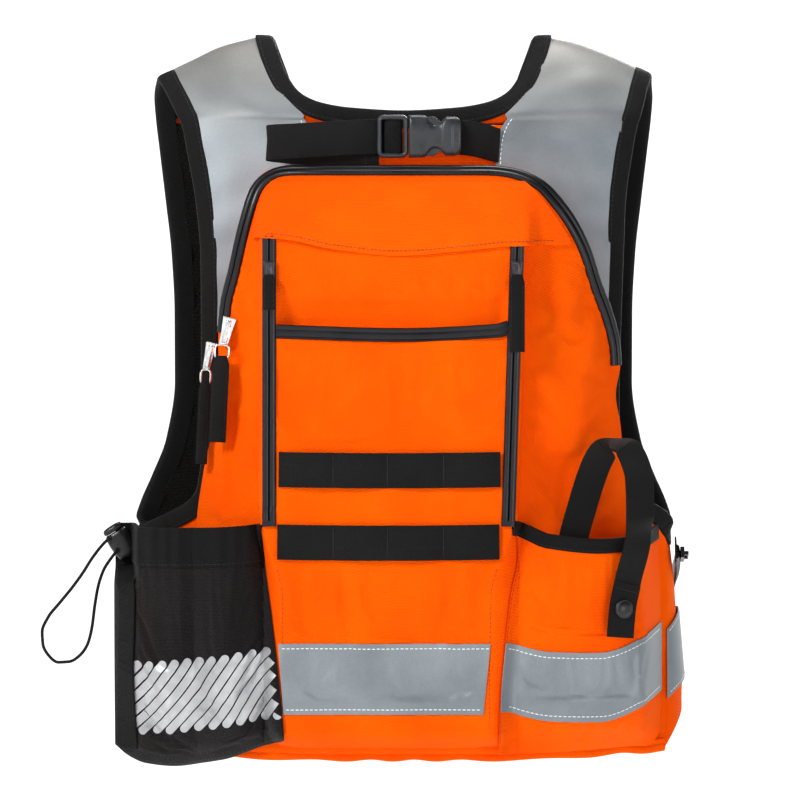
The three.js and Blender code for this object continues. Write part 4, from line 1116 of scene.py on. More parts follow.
def make_pack_cloth():
    """The pack's outer cloth, held at its edge and where the flap and the centre pocket are sewn."""
    x, z = pack_outline.grid(104, 140)
    y = pack_y(x, z)
    u, v = pack_outline.shares(x, z)
    y = y + 6 * (1 - quarter((z - HEM_BACK) / 9)) ** 2
    y = y + folds(x, z, PACK_FOLDS)
    rows = np.linspace(0, 1, x.shape[0])[:, None] + 0 * x
    sides = np.minimum((x - pack_left(z)) / 14, (pack_right(z) - x) / 14)
    edge = np.minimum(sides, (PACK_TOP - z) / 12)
    pocket = np.maximum(pocket_left(z) - x, x - pocket_right(z)) / 8
    free = np.clip(np.minimum(edge, pocket), 0, 1) * (rows < 0.97) * (z < -165)
    return settle(Cloth(pack_outline, np.stack([x, y, z], -1)), free, 0.03, most=4.0)


pack = make_pack_cloth()


def pack_zip_path():
    """The U of the main zip: up the left side, over the top and down to the right armhole."""
    top = PACK_TOP - ZIP_INSET
    left = [(pack_left(z) + ZIP_INSET, z) for z in (-214, -195, -170, -145, -123, -110)]
    over = [(-91, top - 1.5), (-80, top), (-10, top), (60, top), (76, top - 1.5)]
    right = [(pack_right(z) - ZIP_INSET, z) for z in (-108, -120, -135, -155, -179, -205, -225, -238)]
    return smooth_path([(x, 0, z) for x, z in left + over + right], 2.0)


def add_pack():
    x, z = pack_outline.grid(104, 140)
    behind = np.maximum(back_y(x, z) - 1.5, pack.points[..., 1] + 1.5)
    inner = np.stack([x, behind, z], -1)
    made = layer("pack_cloth", pack.points, inner, ORANGE, "orange_fabric", replaces=["pack_body"])
    path = pack_zip_path()
    line, normal = pack.at(path[:, 0], path[:, 2], 0.5), pack.normal(path[:, 0], path[:, 2])
    line = relaxed(line, 8)
    sweep(
        "pack_coated_zip", line, normal, zip_section(ZIP_WIDTH), COATED, "coated_zip",
        replaces=["pack_zip"],
    )
    side = np.cross(unit(np.gradient(line, axis=0)), unit(normal))
    seam = line + side * 3.9 + normal * 1.6
    stitches("pack_zip_stitches", seam, normal, BLACK_THREAD, "coated_zip", radius=0.24)


FLAP_INSET = 10.6


def add_storm_flap():
    outline = Outline(
        lambda t: pack_left(t) + FLAP_INSET, lambda t: pack_right(t) - FLAP_INSET,
        PACK_TOP - FLAP_INSET, -150, bottom=flap_hem,
    )
    x, z = outline.grid(110, 30)
    v = (value(outline.top, x) - z) / (value(outline.top, x) - flap_hem(x))
    over = smoothstep((x + 112) / 12) * smoothstep((98 - x) / 12)
    ripple = 0.7 * v * v * waves(x, z, 61, 55)
    y = mix(pack_y(x, z) - 2.2 - 1.2 * v, pocket_plane(z) - 3.8, v**1.7 * over) - ripple
    free = 0.9 * smoothstep(v / 0.3)
    flap = settle(Cloth(outline, np.stack([x, y, z], -1)), free, 0.008, most=0.8, gravity=0.1)
    inner = flap.points + np.array([0, 1.2, 0])
    made = layer(
        "storm_flap_cloth", flap.points, inner, ORANGE, "orange_fabric",
        replaces=["storm_flap"],
    )
    x = np.linspace(-98, 107, 110)
    z = flap_hem(x) + 3.2
    sew("storm_flap_stitches", flap, x, z, 0.1, RUST_THREAD, "orange_fabric", pitch=3.0)


# ---- Centre pocket ----


POCKET_FOLDS = (
    (2.4, -42, -408, 5, 26, 8), (-1.8, -30, -405, 8, 30, 8), (2.6, 31, -410, 5, 28, -14),
    (-2.0, 42, -405, 9, 34, -12), (2.2, -72, -410, 6, 30, 4), (1.8, 8, -335, 14, 8, 0),
)


def make_pocket_cloth():
    outline = Outline(
        pocket_left, pocket_right, POCKET_TOP, POCKET_BOTTOM, top=pocket_top, bottom=pocket_bottom
    )
    x, z = outline.grid(110, 190)
    y = pocket_y(x, z)
    inside = smoothstep((x - front_left(z)) / 20) * smoothstep((front_right(z) - x) / 20)
    above = smoothstep((-176 - z) / 30) * smoothstep((z + 214) / 7)
    y = y + 6.5 * above * smoothstep((x + 92) / 8) * smoothstep((76 - x) / 8)
    y = y + inside * (folds(x, z, POCKET_FOLDS) + 1.5 * waves(x, z * 0.45, 71, 46))
    sewn = np.minimum((x - front_left(z)) / 10, (front_right(z) - x) / 10)
    for held in (-210, -309.5, -361):
        sewn = np.minimum(sewn, smoothstep((np.abs(z - held) - 12) / 8))
    for held in (-437, -480, -500):
        sewn = np.minimum(sewn, np.abs(z - held) / 10 + 0.15)
    free = np.clip(sewn, 0, 1) * (z < -168)
    return settle(Cloth(outline, np.stack([x, y, z], -1)), free, 0.014, most=1.8)


pocket = make_pocket_cloth()


def pocket_line(x0, z0, x1, z1, step=2.0):
    count = max(6, int(math.hypot(x1 - x0, z1 - z0) / step))
    return np.linspace(x0, x1, count), np.linspace(z0, z1, count)


def add_centre_pocket():
    inner = pocket.points.copy()
    x, z = inner[..., 0], inner[..., 2]
    inner[..., 1] = np.maximum(pack_y(x, z) - 0.5, inner[..., 1] + 1.2)
    made = layer(
        "centre_pocket_cloth", pocket.points, inner, ORANGE, "orange_fabric",
        replaces=["centre_pocket"],
    )
    for side, edge in (("left", front_left), ("right", front_right)):
        z = np.linspace(-380, POCKET_BOTTOM + 12, 70)
        x = edge(z) + (0.8 if side == "left" else -0.8)
        name = f"pocket_edge_stitches_{side}"
        sew(name, pocket, x, z, 0.05, RUST_THREAD, "orange_fabric", radius=0.22)


LEFT_ZIP = ((-95.5, -143.6), (-95.5, -350))
RIGHT_ZIP = ((80.8, -149.4), (74.4, -350))


def add_centre_zips():
    for name, ((x0, z0), (x1, z1)) in (("left", LEFT_ZIP), ("right", RIGHT_ZIP)):
        x, z = pocket_line(x0, z0, x1, z1)
        line, normal = pocket.at(x, z, 0.3), pocket.normal(x, z)
        line = relaxed(line, 10)
        sweep(
            f"centre_coated_zip_{name}", line, normal, zip_section(9.8), COATED, "coated_zip",
            replaces=[f"centre_zip_{name}"],
        )
        stop = flat_section(9.2, 0, 2.3, 0.8)
        sweep(f"centre_zip_end_{name}", line[-3:], normal[-3:], stop, COATED, "coated_zip")


def add_mouth_band():
    line_z = through((-91, -206.5), (-3, -209), (66, -206), (75, -203.5))
    x = np.linspace(-90.5, 75, 90)
    z = line_z(x) - 5
    points = np.stack([x, pocket_plane(z) - 0.2, z], -1)
    out = (0, -1.0, 0.04)
    half = 5.0
    section = np.array([
        (-half, -1.2), (-half, 0.7), (-half + 0.7, 1.5), (-2.2, 1.3), (-1.6, 0.95), (-1.0, 1.3),
        (half - 2.6, 1.3), (half - 2.0, 0.95), (half - 1.4, 1.4), (half - 0.6, 1.4), (half, 0.6),
        (half, -1.2),
    ])
    replaced = ["pocket_mouth_band"]
    sweep("pocket_mouth_binding", points, out, section, COATED, "coated_zip", replaces=replaced)


WEB_TACKS = (-50, -11.5, 28.5)


def add_load_row(name, node, x0, x1, z):
    """A row of load webbing, tacked down so that it stands off a little between the tacks."""
    x = np.linspace(x0, x1, 110)
    tacks = np.array([x0 + 2, *WEB_TACKS, x1 - 2])
    near = np.abs(x[:, None] - tacks[None]).min(axis=1)
    stand = 0.3 + 1.5 * quarter(near / 14)
    sag = 0.8 * np.sin((x - x0) / (x1 - x0) * math.pi)
    points = np.stack([x, pocket_plane(z) - stand - 0.9, z - sag], -1)
    out = (0, -1.0, 0.03)
    sweep(name, points, out, flat_section(25, 0, 1.7, 0.7), LOAD_WEB, "webbing", replaces=[node])
    height = np.linspace(-11, 11, 24)
    for number, tack in enumerate(WEB_TACKS):
        y = np.interp(tack, x, points[:, 1]) - 1.65
        level = np.interp(tack, x, points[:, 2])
        line = np.stack([tack + 0 * height, y + 0 * height, level + height], -1)
        stitches(
            f"{name}_tack_{number + 1}", line, BACKWARD, BLACK_THREAD, "webbing",
            pitch=1.1, length=1.0, radius=0.42,
        )


def add_centre_tape():
    def edge(z):
        return mix(-88.5, -85.5, (-433 - z) / 50)

    def far(z):
        return mix(62, 57, (-433 - z) / 50)

    x, z = Outline(edge, far, -433.5, -484).grid(70, 26)
    outer, inner = pocket.at(x, z, 1.1), pocket.at(x, z, 0.4)
    made = layer("centre_tape", outer, inner, TAPE, "reflective_tape", replaces=["centre_reflective"])
    for label, z0 in (("upper", -437), ("lower", -480.5)):
        x, z = pocket_line(edge(z0) + 1.5, z0, far(z0) - 1.5, z0)
        sew(f"centre_tape_stitches_{label}", pocket, x, z, 1.15, WHITE_THREAD, "reflective_tape")


# ---- Zip sliders and pulls ----


def web_pull(name, top, lean, length, width, node, eyelet_width, slope):
    """A folded webbing pull that hangs from its slider's ring."""
    down = np.array([-math.sin(math.radians(lean)), slope, -math.cos(math.radians(lean))])
    share = np.linspace(0, 1, 60)
    wave = 0.5 * np.sin(share * 5 + lean)
    points = np.array(top) + share[:, None] * length * down + np.stack([0 * share, wave, 0 * share], -1)
    half = np.where(share < 0.12, mix(eyelet_width, width, smoothstep(share / 0.12)), width) / 2
    ribs = 0.12 * np.sin(share * length * 2 * math.pi / 2.2)
    sections = []
    for w, rib in zip(half, ribs):
        t = 1.0 + rib
        sections.append([(-w, -t * 0.6), (-w, t * 0.6), (-w + 0.6, t), (w - 0.6, t), (w, t * 0.6),
                         (w, -t * 0.6), (w - 0.6, -t), (-w + 0.6, -t)])
    sweep(name, points, BACKWARD, np.array(sections), SOFT_WEB, "webbing", body=node, replaces=[node])
    line = points[8:-3]
    for label, shift in (("left", -width / 2 + 1.4), ("right", width / 2 - 1.4)):
        seam = line + np.array([shift, -1.05, 0])
        stitches(
            f"{name}_stitches_{label}", seam, BACKWARD, BLACK_THREAD, "webbing", radius=0.2, body=node
        )


def pull_ring(name, top, width, height, wire, lean, body):
    """The slim metal ring between a slider and its webbing."""
    turns = np.linspace(0, 2 * math.pi, 40, endpoint=False)
    square = 3.2
    cx = rounded(np.cos(turns), 2 / square) * width / 2
    cz = rounded(np.sin(turns), 2 / square) * height / 2
    tilt = math.radians(lean)
    x = top[0] + cx * math.cos(tilt) + cz * math.sin(tilt)
    z = top[2] - height / 2 + 2 - cx * math.sin(tilt) + cz * math.cos(tilt)
    points = np.stack([x, top[1] + 0 * x, z], -1)
    ring = np.linspace(0, 2 * math.pi, 8, endpoint=False)
    section = wire * np.stack([np.cos(ring), 0.8 * np.sin(ring)], -1)
    sweep(name, points, BACKWARD, section, CHROME, "slider_metal", body=body, closed=True)


def add_sliders():
    for node in ("pack_upper_slider", "pack_lower_slider"):
        moulded(node, CHROME, 0.28, 4)
    for node in ("centre_left_slider", "centre_right_slider"):
        moulded(node, DARK_METAL, 0.28, 4)
    for name, node, length, width, lean in (
        ("pack_upper", "pack_upper_pull", 68, 12, 3), ("pack_lower", "pack_lower_pull", 66, 8.5, 3),
        ("centre_left", "centre_left_pull", 26, 9, 0), ("centre_right", "centre_right_pull", 56, 11, 0),
    ):
        low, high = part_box(node)
        tilt = math.radians(lean)
        bright = name.startswith("pack")
        slope = 0.0 if bright else POCKET_LEAN
        gap = 6 if bright else 1
        top = [
            ((low.x + high.x) / 2 / MM) + math.sin(tilt) * length / 2,
            (high.y + low.y) / 2 / MM + slope * length / 2,
            high.z / MM,
        ]
        start = [top[0] - math.sin(tilt) * gap, top[1], top[2] - gap]
        web_pull(f"{name}_web_pull", start, lean, length - gap, width, node, width * 0.7, -slope)
        if bright:
            pull_ring(f"{name}_ring", top, width * 0.85, 10, 0.8, lean, node)


# ---- Right pocket ----

right_left = through(
    (-346, 75.5), (-358, 80), (-373, 81.5), (-401, 76.5), (-434, 72.5), (-481, 68.5), (-514, 68)
)
right_right = through((-346, 184), (-420, 186), (-500, 186), (-514, 180))
right_top = through((78, -347), (88, -351), (103, -357), (142, -361), (170, -359), (190, -353))
RIGHT_FACE = 117
RIGHT_FULLEST = 115


def outermost(x, z):
    return np.minimum(pack_y(x, z), back_y(x, z))


def right_base(x, z):
    """What the right pocket is sewn to: the pack, and at its left the centre pocket's gusset."""
    on_gusset = np.where(x < pocket_right(z), pocket_y(x, z), outermost(x, z))
    return np.minimum(outermost(x, z), on_gusset)


def right_pocket_y(x, z):
    side = np.minimum((x - right_left(z)) / 20, (right_right(z) - x) / 19)
    beyond = np.maximum(0, x - RIGHT_FULLEST)
    face = 0.006 * beyond * beyond - RIGHT_FACE - 1.5 * bump_at(x, z, 95, -450, 25, 60, 0)
    return mix(right_base(x, z), face, quarter(side) * quarter((z + 514) / 40)) - 1.9


def make_right_cloth():
    outline = Outline(right_left, right_right, -350, -514, top=right_top)
    x, z = outline.grid(72, 96)
    y = right_pocket_y(x, z) - 0.4
    low = smoothstep((-488 - z) / 18)
    y = y + low * 1.5 * np.sin(x / 3.1 + 2 * np.sin(x / 11)) * smoothstep((x - 90) / 20)
    inside = quarter((right_right(z) - x) / 25) * quarter((x - right_left(z)) / 20)
    y = y + waves(x, z * 0.6, 81, 48) * inside
    edge = np.minimum((x - right_left(z)) / 16, (right_right(z) - x) / 16)
    free = np.clip(np.minimum(edge, (z + 514) / 16), 0, 1) * smoothstep((right_top(x) - z) / 14)
    for held in (-437, -482):
        free = np.minimum(free, np.abs(z - held) / 12 + 0.2)
    return settle(Cloth(outline, np.stack([x, y, z], -1)), free, 0.016, most=2.4)


right = make_right_cloth()


def add_right_pocket():
    inner = right.points + np.array([0, FABRIC, 0])
    made = layer(
        "right_pocket_cloth", right.points, inner, ORANGE, "orange_fabric",
        replaces=["right_pocket"],
    )
    x = np.linspace(right_left(-350) + 1, right_right(-350) - 1, 90)
    z = right_top(x) - 4.2
    section = np.array([
        (-4.9, -1.8), (-4.9, 0.6), (-4.3, 1.2), (4.2, 1.2), (5.4, 0.6), (5.7, -0.6), (5.2, -2.0), (3.5, -2.4),
    ])
    line, normal = right.at(x, z, 0.1), right.normal(x, z)
    sweep(
        "right_pocket_edge_binding", line, normal, section * np.array([-1, 1]), GROSGRAIN, "black_fabric",
        replaces=["right_pocket_binding"],
    )
    seam_z = right_top(x) - 7.6
    name = "right_pocket_binding_stitches"
    sew(name, right, x, seam_z, 1.35, BLACK_THREAD, "black_fabric", radius=0.24)
    z = np.linspace(-356, -505, 80)
    x = right_left(z) + 0.7
    sew("right_pocket_seam", right, x, z, 0.1, RUST_THREAD, "orange_fabric", radius=0.24)


def add_right_tape():
    line = through((72, -433), (105, -440), (140, -441), (186, -424.5))
    outline = Outline(
        lambda t: right_left(t) + 0.4, lambda t: right_right(t) - 0.2, -438, -486,
        top=line, bottom=lambda x: line(x) - 49.5,
    )
    x, z = outline.grid(66, 24)
    outer, inner = right.at(x, z, 1.1), right.at(x, z, 0.4)
    made = layer(
        "right_pocket_tape", outer, inner, TAPE, "reflective_tape",
        replaces=["right_pocket_reflective"],
    )
    x = np.linspace(74, 184, 90)
    for label, drop in (("upper", 4), ("lower", 45.5)):
        z = line(x) - drop
        sew(f"right_tape_stitches_{label}", right, x, z, 1.15, WHITE_THREAD, "reflective_tape")


# ---- Snap strap ----

SNAP_X = 153.5
SNAP_Z = -409.5
SNAP_TURN = math.atan(0.5)
SNAP_NORMAL = np.array([math.sin(SNAP_TURN), -math.cos(SNAP_TURN), 0])
SNAP_WALL_Y = 0.006 * (SNAP_X - RIGHT_FULLEST) ** 2 - RIGHT_FACE - 1.6 - FABRIC
SNAP_ALONG = np.array([math.cos(SNAP_TURN), math.sin(SNAP_TURN), 0])
SNAP_CAP = (
    (0.5, 0), (6.9, 0), (7.1, 0.5), (7.0, 1.3), (6.6, 1.9), (6.1, 2.1), (5.7, 2.0), (5.4, 2.2),
    (4.6, 2.9), (3.4, 3.4), (1.8, 3.75), (0.3, 3.8),
)
STRAP_CLEARANCE = 6.5
STRAP_WIDTH = 21


def beside_snap(shift, z, lift):
    """A point shift beside the snap and lift off the pocket, and its normal."""
    wall = np.array([SNAP_X, SNAP_WALL_Y, z])
    return [*(wall + SNAP_ALONG * shift + SNAP_NORMAL * lift), *SNAP_NORMAL]


def add_snap_strap():
    entries = [
        [118, -108, -392, 0, -1, 0], [121, -110, -362, 0, -1, 0], [126.5, -112.5, -340, -0.05, -1, 0],
        [134, -114.5, -315, -0.1, -1, 0.1], [141, -115, -299, -0.1, -0.95, 0.5],
        [148.5, -116, -291.5, 0, -0.35, 1], [156, -119, -292, 0.1, -0.55, 1],
        [163.5, -123, -301, 0.25, -1, 0.55],
        [168, -127.5, -318, 0.3, -1, 0.1], [168.5, -129, -342, 0.3, -1, 0],
        beside_snap(10, -362, STRAP_CLEARANCE + 4), beside_snap(5, -388, STRAP_CLEARANCE),
        beside_snap(0, SNAP_Z, STRAP_CLEARANCE), beside_snap(-2, -430, STRAP_CLEARANCE),
    ]
    section = flat_section(STRAP_WIDTH, -1.7, 0, 0.5)
    replaced = ["snap_strap_front", "snap_strap_back"]
    strap = soft_web("snap_strap", entries, section, None, replaced)
    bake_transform(strap)
    patch = smooth_path(entries[-4:], 1.5)
    patch = patch[np.searchsorted(-patch[:, 2], 391):]
    face = flat_section(STRAP_WIDTH - 0.3, 0.05, 1.0, 0.4)
    sweep("snap_strap_end", patch[:, :3], patch[:, 3:], face, SOFT_WEB, "webbing", "snap_flap")
    across = np.linspace(-9.2, 9.2, 14)[:, None]
    row = patch[3]
    along = unit(patch[4, :3] - patch[2, :3])
    normal = unit(row[3:])
    side = np.cross(along, normal)
    seam = row[:3] + side * across + normal * 1.05
    stitches(
        "snap_strap_seam", seam, normal, BLACK_THREAD, "webbing", pitch=1.9, length=1.5,
        body="snap_flap",
    )


def turned(name, profile, origin, axis, material, slot, body, replaces):
    """A round part turned about an axis, from (radius, height) pairs."""
    axis = unit(np.array(axis, float))
    side = unit(np.cross(axis, [0, 0, 1.0]))
    other = np.cross(axis, side)
    turns = np.linspace(0, 2 * math.pi, 64, endpoint=False)
    profile = np.array(profile, float)
    ring = np.cos(turns)[:, None] * side + np.sin(turns)[:, None] * other
    points = origin + profile[:, None, :1] * ring[None] + profile[:, None, 1:] * axis
    faces = tube_faces(len(profile), len(turns))
    return piece(name, points, faces, material, body, slot, replaces=replaces)


def add_snap():
    wall = np.array([SNAP_X, SNAP_WALL_Y, SNAP_Z])
    origin = wall + SNAP_NORMAL * (STRAP_CLEARANCE + 0.9)
    turned(
        "snap_button_cap", SNAP_CAP, origin, SNAP_NORMAL, BLACK_PLASTIC, "black_plastic", "snap_flap",
        ["snap_cap"],
    )
    moulded("snap_socket", CHROME, 0.25, 2)
    moulded("snap_stud", CHROME, 0.25, 2)


# ---- Mesh bottle pocket ----

MESH_FLOOR = -518
MESH_LEFT = -208
MESH_DEPTH = 46
CASING = 28
BEHIND_LOCK = -49  # how far out the pocket's corner may come under the cord lock
mesh_right = through((-346, -102), (-380, -99), (-420, -94), (-504, -85.5), (-512, -85))
mesh_top = through((-207, -353), (-150, -352), (-110, -350), (-94, -348.5))
mesh_bottom = through(
    (-209, -511), (-198, -520), (-186, -525), (-165, -527), (-130, -521), (-100, -509), (-85, -503)
)


def mesh_base(x, z):
    flat = np.minimum(back_y(x, z) - 3, pack_y(np.maximum(x, -150), z))
    gusset = np.where(x > pocket_left(z), pocket_y(x, z), flat)
    return np.minimum(flat, gusset)


def mesh_pocket_y(x, z):
    u = np.clip((x - MESH_LEFT + 3) / (mesh_right(z) - MESH_LEFT + 3), 0, 1)
    v = np.clip((z - mesh_bottom(x)) / 70 + 0.02, 0, 1)
    swell = np.sin(u * math.pi) ** 0.7 * v ** 0.45
    return mesh_base(x, z) - MESH_DEPTH * swell - 1.6


MESH_FOLDS = ((3.0, -152, -440, 8, 50, -12), (-2.0, -138, -440, 10, 45, -12))


def make_mesh_cloth():
    outline = Outline(MESH_LEFT, mesh_right, -350, MESH_FLOOR, top=mesh_top, bottom=mesh_bottom)
    x, z = outline.grid(84, 104)
    y = mesh_pocket_y(x, z) - 0.6
    inside = quarter((x - MESH_LEFT) / 25) * quarter((mesh_right(z) - x) / 20)
    gather = smoothstep((z - mesh_top(x) + CASING + 12) / 24)
    y = y + inside * (0.55 * gather * np.sin(x / 1.9 + 1.5 * np.sin(x / 9)) + 1.6 * waves(x, z * 0.4, 91, 38))
    y = y + inside * folds(x, z, MESH_FOLDS)
    corner = smoothstep((-189 - x) / 8) * smoothstep((z + 396) / 14)
    y = y + np.maximum(0, BEHIND_LOCK - y) * corner
    edge = np.minimum((x - MESH_LEFT) / 22, (mesh_right(z) - x) / 14)
    free = np.clip(np.minimum(edge, (z - mesh_bottom(x)) / 12), 0, 1)
    free = free * mix(0.25, 1, smoothstep((mesh_top(x) - z - 14) / 20))
    return settle(Cloth(outline, np.stack([x, y, z], -1)), free, 0.018, most=3.5)


mesh_cloth = make_mesh_cloth()


def add_mesh_pocket():
    inner = mesh_cloth.points + np.array([0, 0.8, 0])
    made = layer(
        "mesh_pocket_cloth", mesh_cloth.points, inner, MESH, "pocket_mesh",
        replaces=["mesh_pocket"],
    )
    casing = Outline(
        MESH_LEFT, lambda t: mesh_right(t) - 0.2, -350, -380,
        top=mesh_top, bottom=lambda x: mesh_top(x) - CASING,
    )
    x, z = casing.grid(120, 26)
    v = (mesh_top(x) - z) / CASING
    swell = 0.7 + 0.9 * np.sin(np.clip(v, 0, 1) * math.pi) ** 0.6
    outer = mesh_cloth.at(x, z, swell)
    inner = mesh_cloth.at(x, z, -2.2)
    layer("mesh_pocket_casing_band", outer, inner, KNIT, "black_fabric", replaces=["mesh_pocket_casing"])
    x = np.linspace(MESH_LEFT + 2, -101, 80)
    z = mesh_top(x) - CASING + 2
    sew("mesh_casing_stitches", mesh_cloth, x, z, 1.0, BLACK_THREAD, "black_fabric", radius=0.24)
    z = np.linspace(-357, -511, 90)
    x = -198.0 + 0.6 * np.sin(z / 23)
    line, normal = mesh_cloth.at(x, z, 1.9), mesh_cloth.normal(x, z)
    line = relaxed(line, 10)
    section = flat_section(17, -1.4, 0.3, 0.6)
    sweep(
        "mesh_pocket_edge_web", line, normal, section, GROSGRAIN, "webbing",
        replaces=["mesh_pocket_edge"],
    )
    x = np.linspace(-186, -87, 70)
    z = mesh_bottom(x) + 2.5
    sew("mesh_floor_stitches", mesh_cloth, x, z, 0.1, BLACK_THREAD, "black_fabric", radius=0.24)


SLASH_PITCH = 9.7
SLASH_WIDTH = 5.9
SLASHES = 18
SLASH_START = -214


def add_slashes():
    """The print on the mesh: slanting silver bars with round ends."""
    radius = SLASH_WIDTH / 2
    for number in range(SLASHES):
        along = np.sin(np.linspace(-math.pi / 2, math.pi / 2, 61))
        x = SLASH_START + SLASH_PITCH * number + 23 * along + 2.2 * np.sin(along * 2.2 + number * 0.35)
        share = np.clip((x + 187) / 100, 0, 1)
        z = mix(-449, -436, share) - mix(53, 50, share) * (1 - along) / 2
        middle = np.stack([x, z], -1)
        direction = unit(np.gradient(middle, axis=0))
        across = np.stack([-direction[:, 1], direction[:, 0]], -1)
        far = lengths(np.column_stack([middle, 0 * x]))
        end = np.minimum(far, far[-1] - far)
        half = np.sqrt(np.maximum(radius**2 - np.maximum(radius - end, 0) ** 2, 0.01))
        shown = (x > -197) & (x < mesh_right(z) - 2)
        if shown.sum() < 8:
            continue
        middle, across, half = middle[shown], across[shown], half[shown]
        flat = middle[:, None] + across[:, None] * half[:, None, None] * np.linspace(-1, 1, 7)[:, None]
        outer = mesh_cloth.at(flat[..., 0], flat[..., 1], 0.35)
        inner = mesh_cloth.at(flat[..., 0], flat[..., 1], 0.1)
        layer(f"mesh_print_bar_{number + 1}", outer, inner, SILVER_PRINT, "reflective_tape")


LOCK_MIDDLE = np.array([-203.5, -58, -366])
LOCK_AXIS = np.array([-math.sin(math.radians(32)), 0, math.cos(math.radians(32))])
LOCK_SIDE = np.array([LOCK_AXIS[2], 0, -LOCK_AXIS[0]])
LOCK_FRONT = np.array([0, -1.0, 0])


def lock_part(name, profile, material, body, replaces=()):
    """An oval part on the lock's axis, from (half width, half depth, height) rows."""
    turns = np.linspace(0, 2 * math.pi, 48, endpoint=False)
    across = rounded(np.cos(turns), 0.8)[:, None] * LOCK_SIDE
    deep = rounded(np.sin(turns), 0.8)[:, None] * LOCK_FRONT
    rings = []
    for width, depth, height in profile:
        rings.append(LOCK_MIDDLE + across * width + deep * depth + LOCK_AXIS * height)
    faces = tube_faces(len(rings), len(turns))
    return piece(name, np.array(rings), faces, material, body, "black_plastic", replaces=replaces)


def add_cord_lock():
    barrel = [
        (3, 2, -12.4), (5.8, 3.6, -12.0), (7.2, 4.7, -10.6), (8.0, 5.2, -7.6), (8.7, 5.7, -2), (8.8, 5.8, 2),
        (8.5, 5.6, 6), (8.0, 5.2, 7.8), (7.2, 4.6, 8.5), (5.6, 3.6, 8.6),
    ]
    lock_part("lock_barrel", barrel, BLACK_PLASTIC, "vest", ["cord_lock_body"])
    low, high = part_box("cord_lock_button")
    middle = (np.array(low) + np.array(high)) / 2 / MM - LOCK_MIDDLE
    top = float(middle @ LOCK_AXIS)
    cap = [
        (5.6, 3.7, top - 1.5), (7.2, 4.8, top - 1.2), (7.8, 5.2, top - 0.2),
        (7.6, 5.1, top + 1.4), (6.6, 4.4, top + 2.6), (3.4, 2.2, top + 3.2),
    ]
    lock_part("lock_button", cap, BLACK_PLASTIC, "cord_lock_button", ["cord_lock_button"])
    for number, (x, _, z) in enumerate((CORD_ROUTE[0], CORD_ROUTE[-1])):
        turns = np.linspace(0, 2 * math.pi, 24, endpoint=False)
        ring = np.cos(turns)[:, None] * LOCK_SIDE + np.sin(turns)[:, None] * LOCK_AXIS
        points = np.array([x / MM, LOCK_MIDDLE[1] - 5.4, z / MM]) + ring * 1.6
        section = 0.5 * np.stack([np.cos(turns[::3]), np.sin(turns[::3])], -1)
        sweep(
            f"lock_eyelet_{number + 1}", points, LOCK_FRONT, section, BLACK_PLASTIC, "black_plastic",
            closed=True,
        )
    repaint("cord_lock_spring", CHROME)


# ---- Back strap and buckle ----

BUCKLE_Y = -82
BUCKLE_Z = -73.5
shell_half = through(
    (3.8, 15.2), (13, 15.2), (16, 14.4), (18.5, 11), (22, 9), (25.5, 9.6), (28.5, 12.6), (31, 14),
    (36, 14), (39, 13), (41.2, 10.5),
)


def add_buckle():
    """The female half is a domed shell with a bite in each side; the male half is a frame."""
    x, w = np.meshgrid(np.linspace(3.8, 41.2, 90), np.sin(np.linspace(-math.pi / 2, math.pi / 2, 41)))
    ends = np.minimum(1, np.minimum(x - 3.2, 42 - x) / 2.6)
    dome = (1 - np.abs(w) ** 4) ** 0.5 * np.sqrt(np.clip(ends * (2 - ends), 0, 1))
    ridge = 0.7 * smoothstep((x - 27) / 2) * smoothstep((36 - x) / 2)
    z = BUCKLE_Z + w * shell_half(x)
    outer = np.stack([x, BUCKLE_Y - 0.4 - (4.5 + ridge) * dome, z], -1)
    inner = np.stack([x, BUCKLE_Y + 0.4 + 3.6 * dome, z], -1)
    layer("buckle_shell", outer, inner, BUCKLE_PLASTIC, "black_plastic", replaces=["buckle_female"])
    left, right, half, corner = -17.2, 1.6, 13.6, 3.0
    path = []
    for cx, cz, start in ((right, half, 0), (left, half, 1), (left, -half, 2), (right, -half, 3)):
        sx, sz = math.copysign(1, cx - (left + right) / 2), math.copysign(1, cz)
        for step in range(7):
            a = math.pi / 2 * (start + step / 6)
            middle = (cx - sx * corner, cz - sz * corner)
            x, z = middle[0] + corner * math.cos(a), BUCKLE_Z + middle[1] + corner * math.sin(a)
            path.append([x, BUCKLE_Y, z])
    turns = np.linspace(0, 2 * math.pi, 16, endpoint=False)
    section = np.stack([1.9 * np.cos(turns), 4.2 * rounded(np.sin(turns), 0.7)], -1)
    sweep(
        "buckle_frame", path, BACKWARD, section, BUCKLE_PLASTIC, "black_plastic",
        replaces=["buckle_male"], closed=True,
    )
    moulded("buckle_latch_upper", BUCKLE_PLASTIC, 0.3, 3)
    moulded("buckle_latch_lower", BUCKLE_PLASTIC, 0.3, 3)


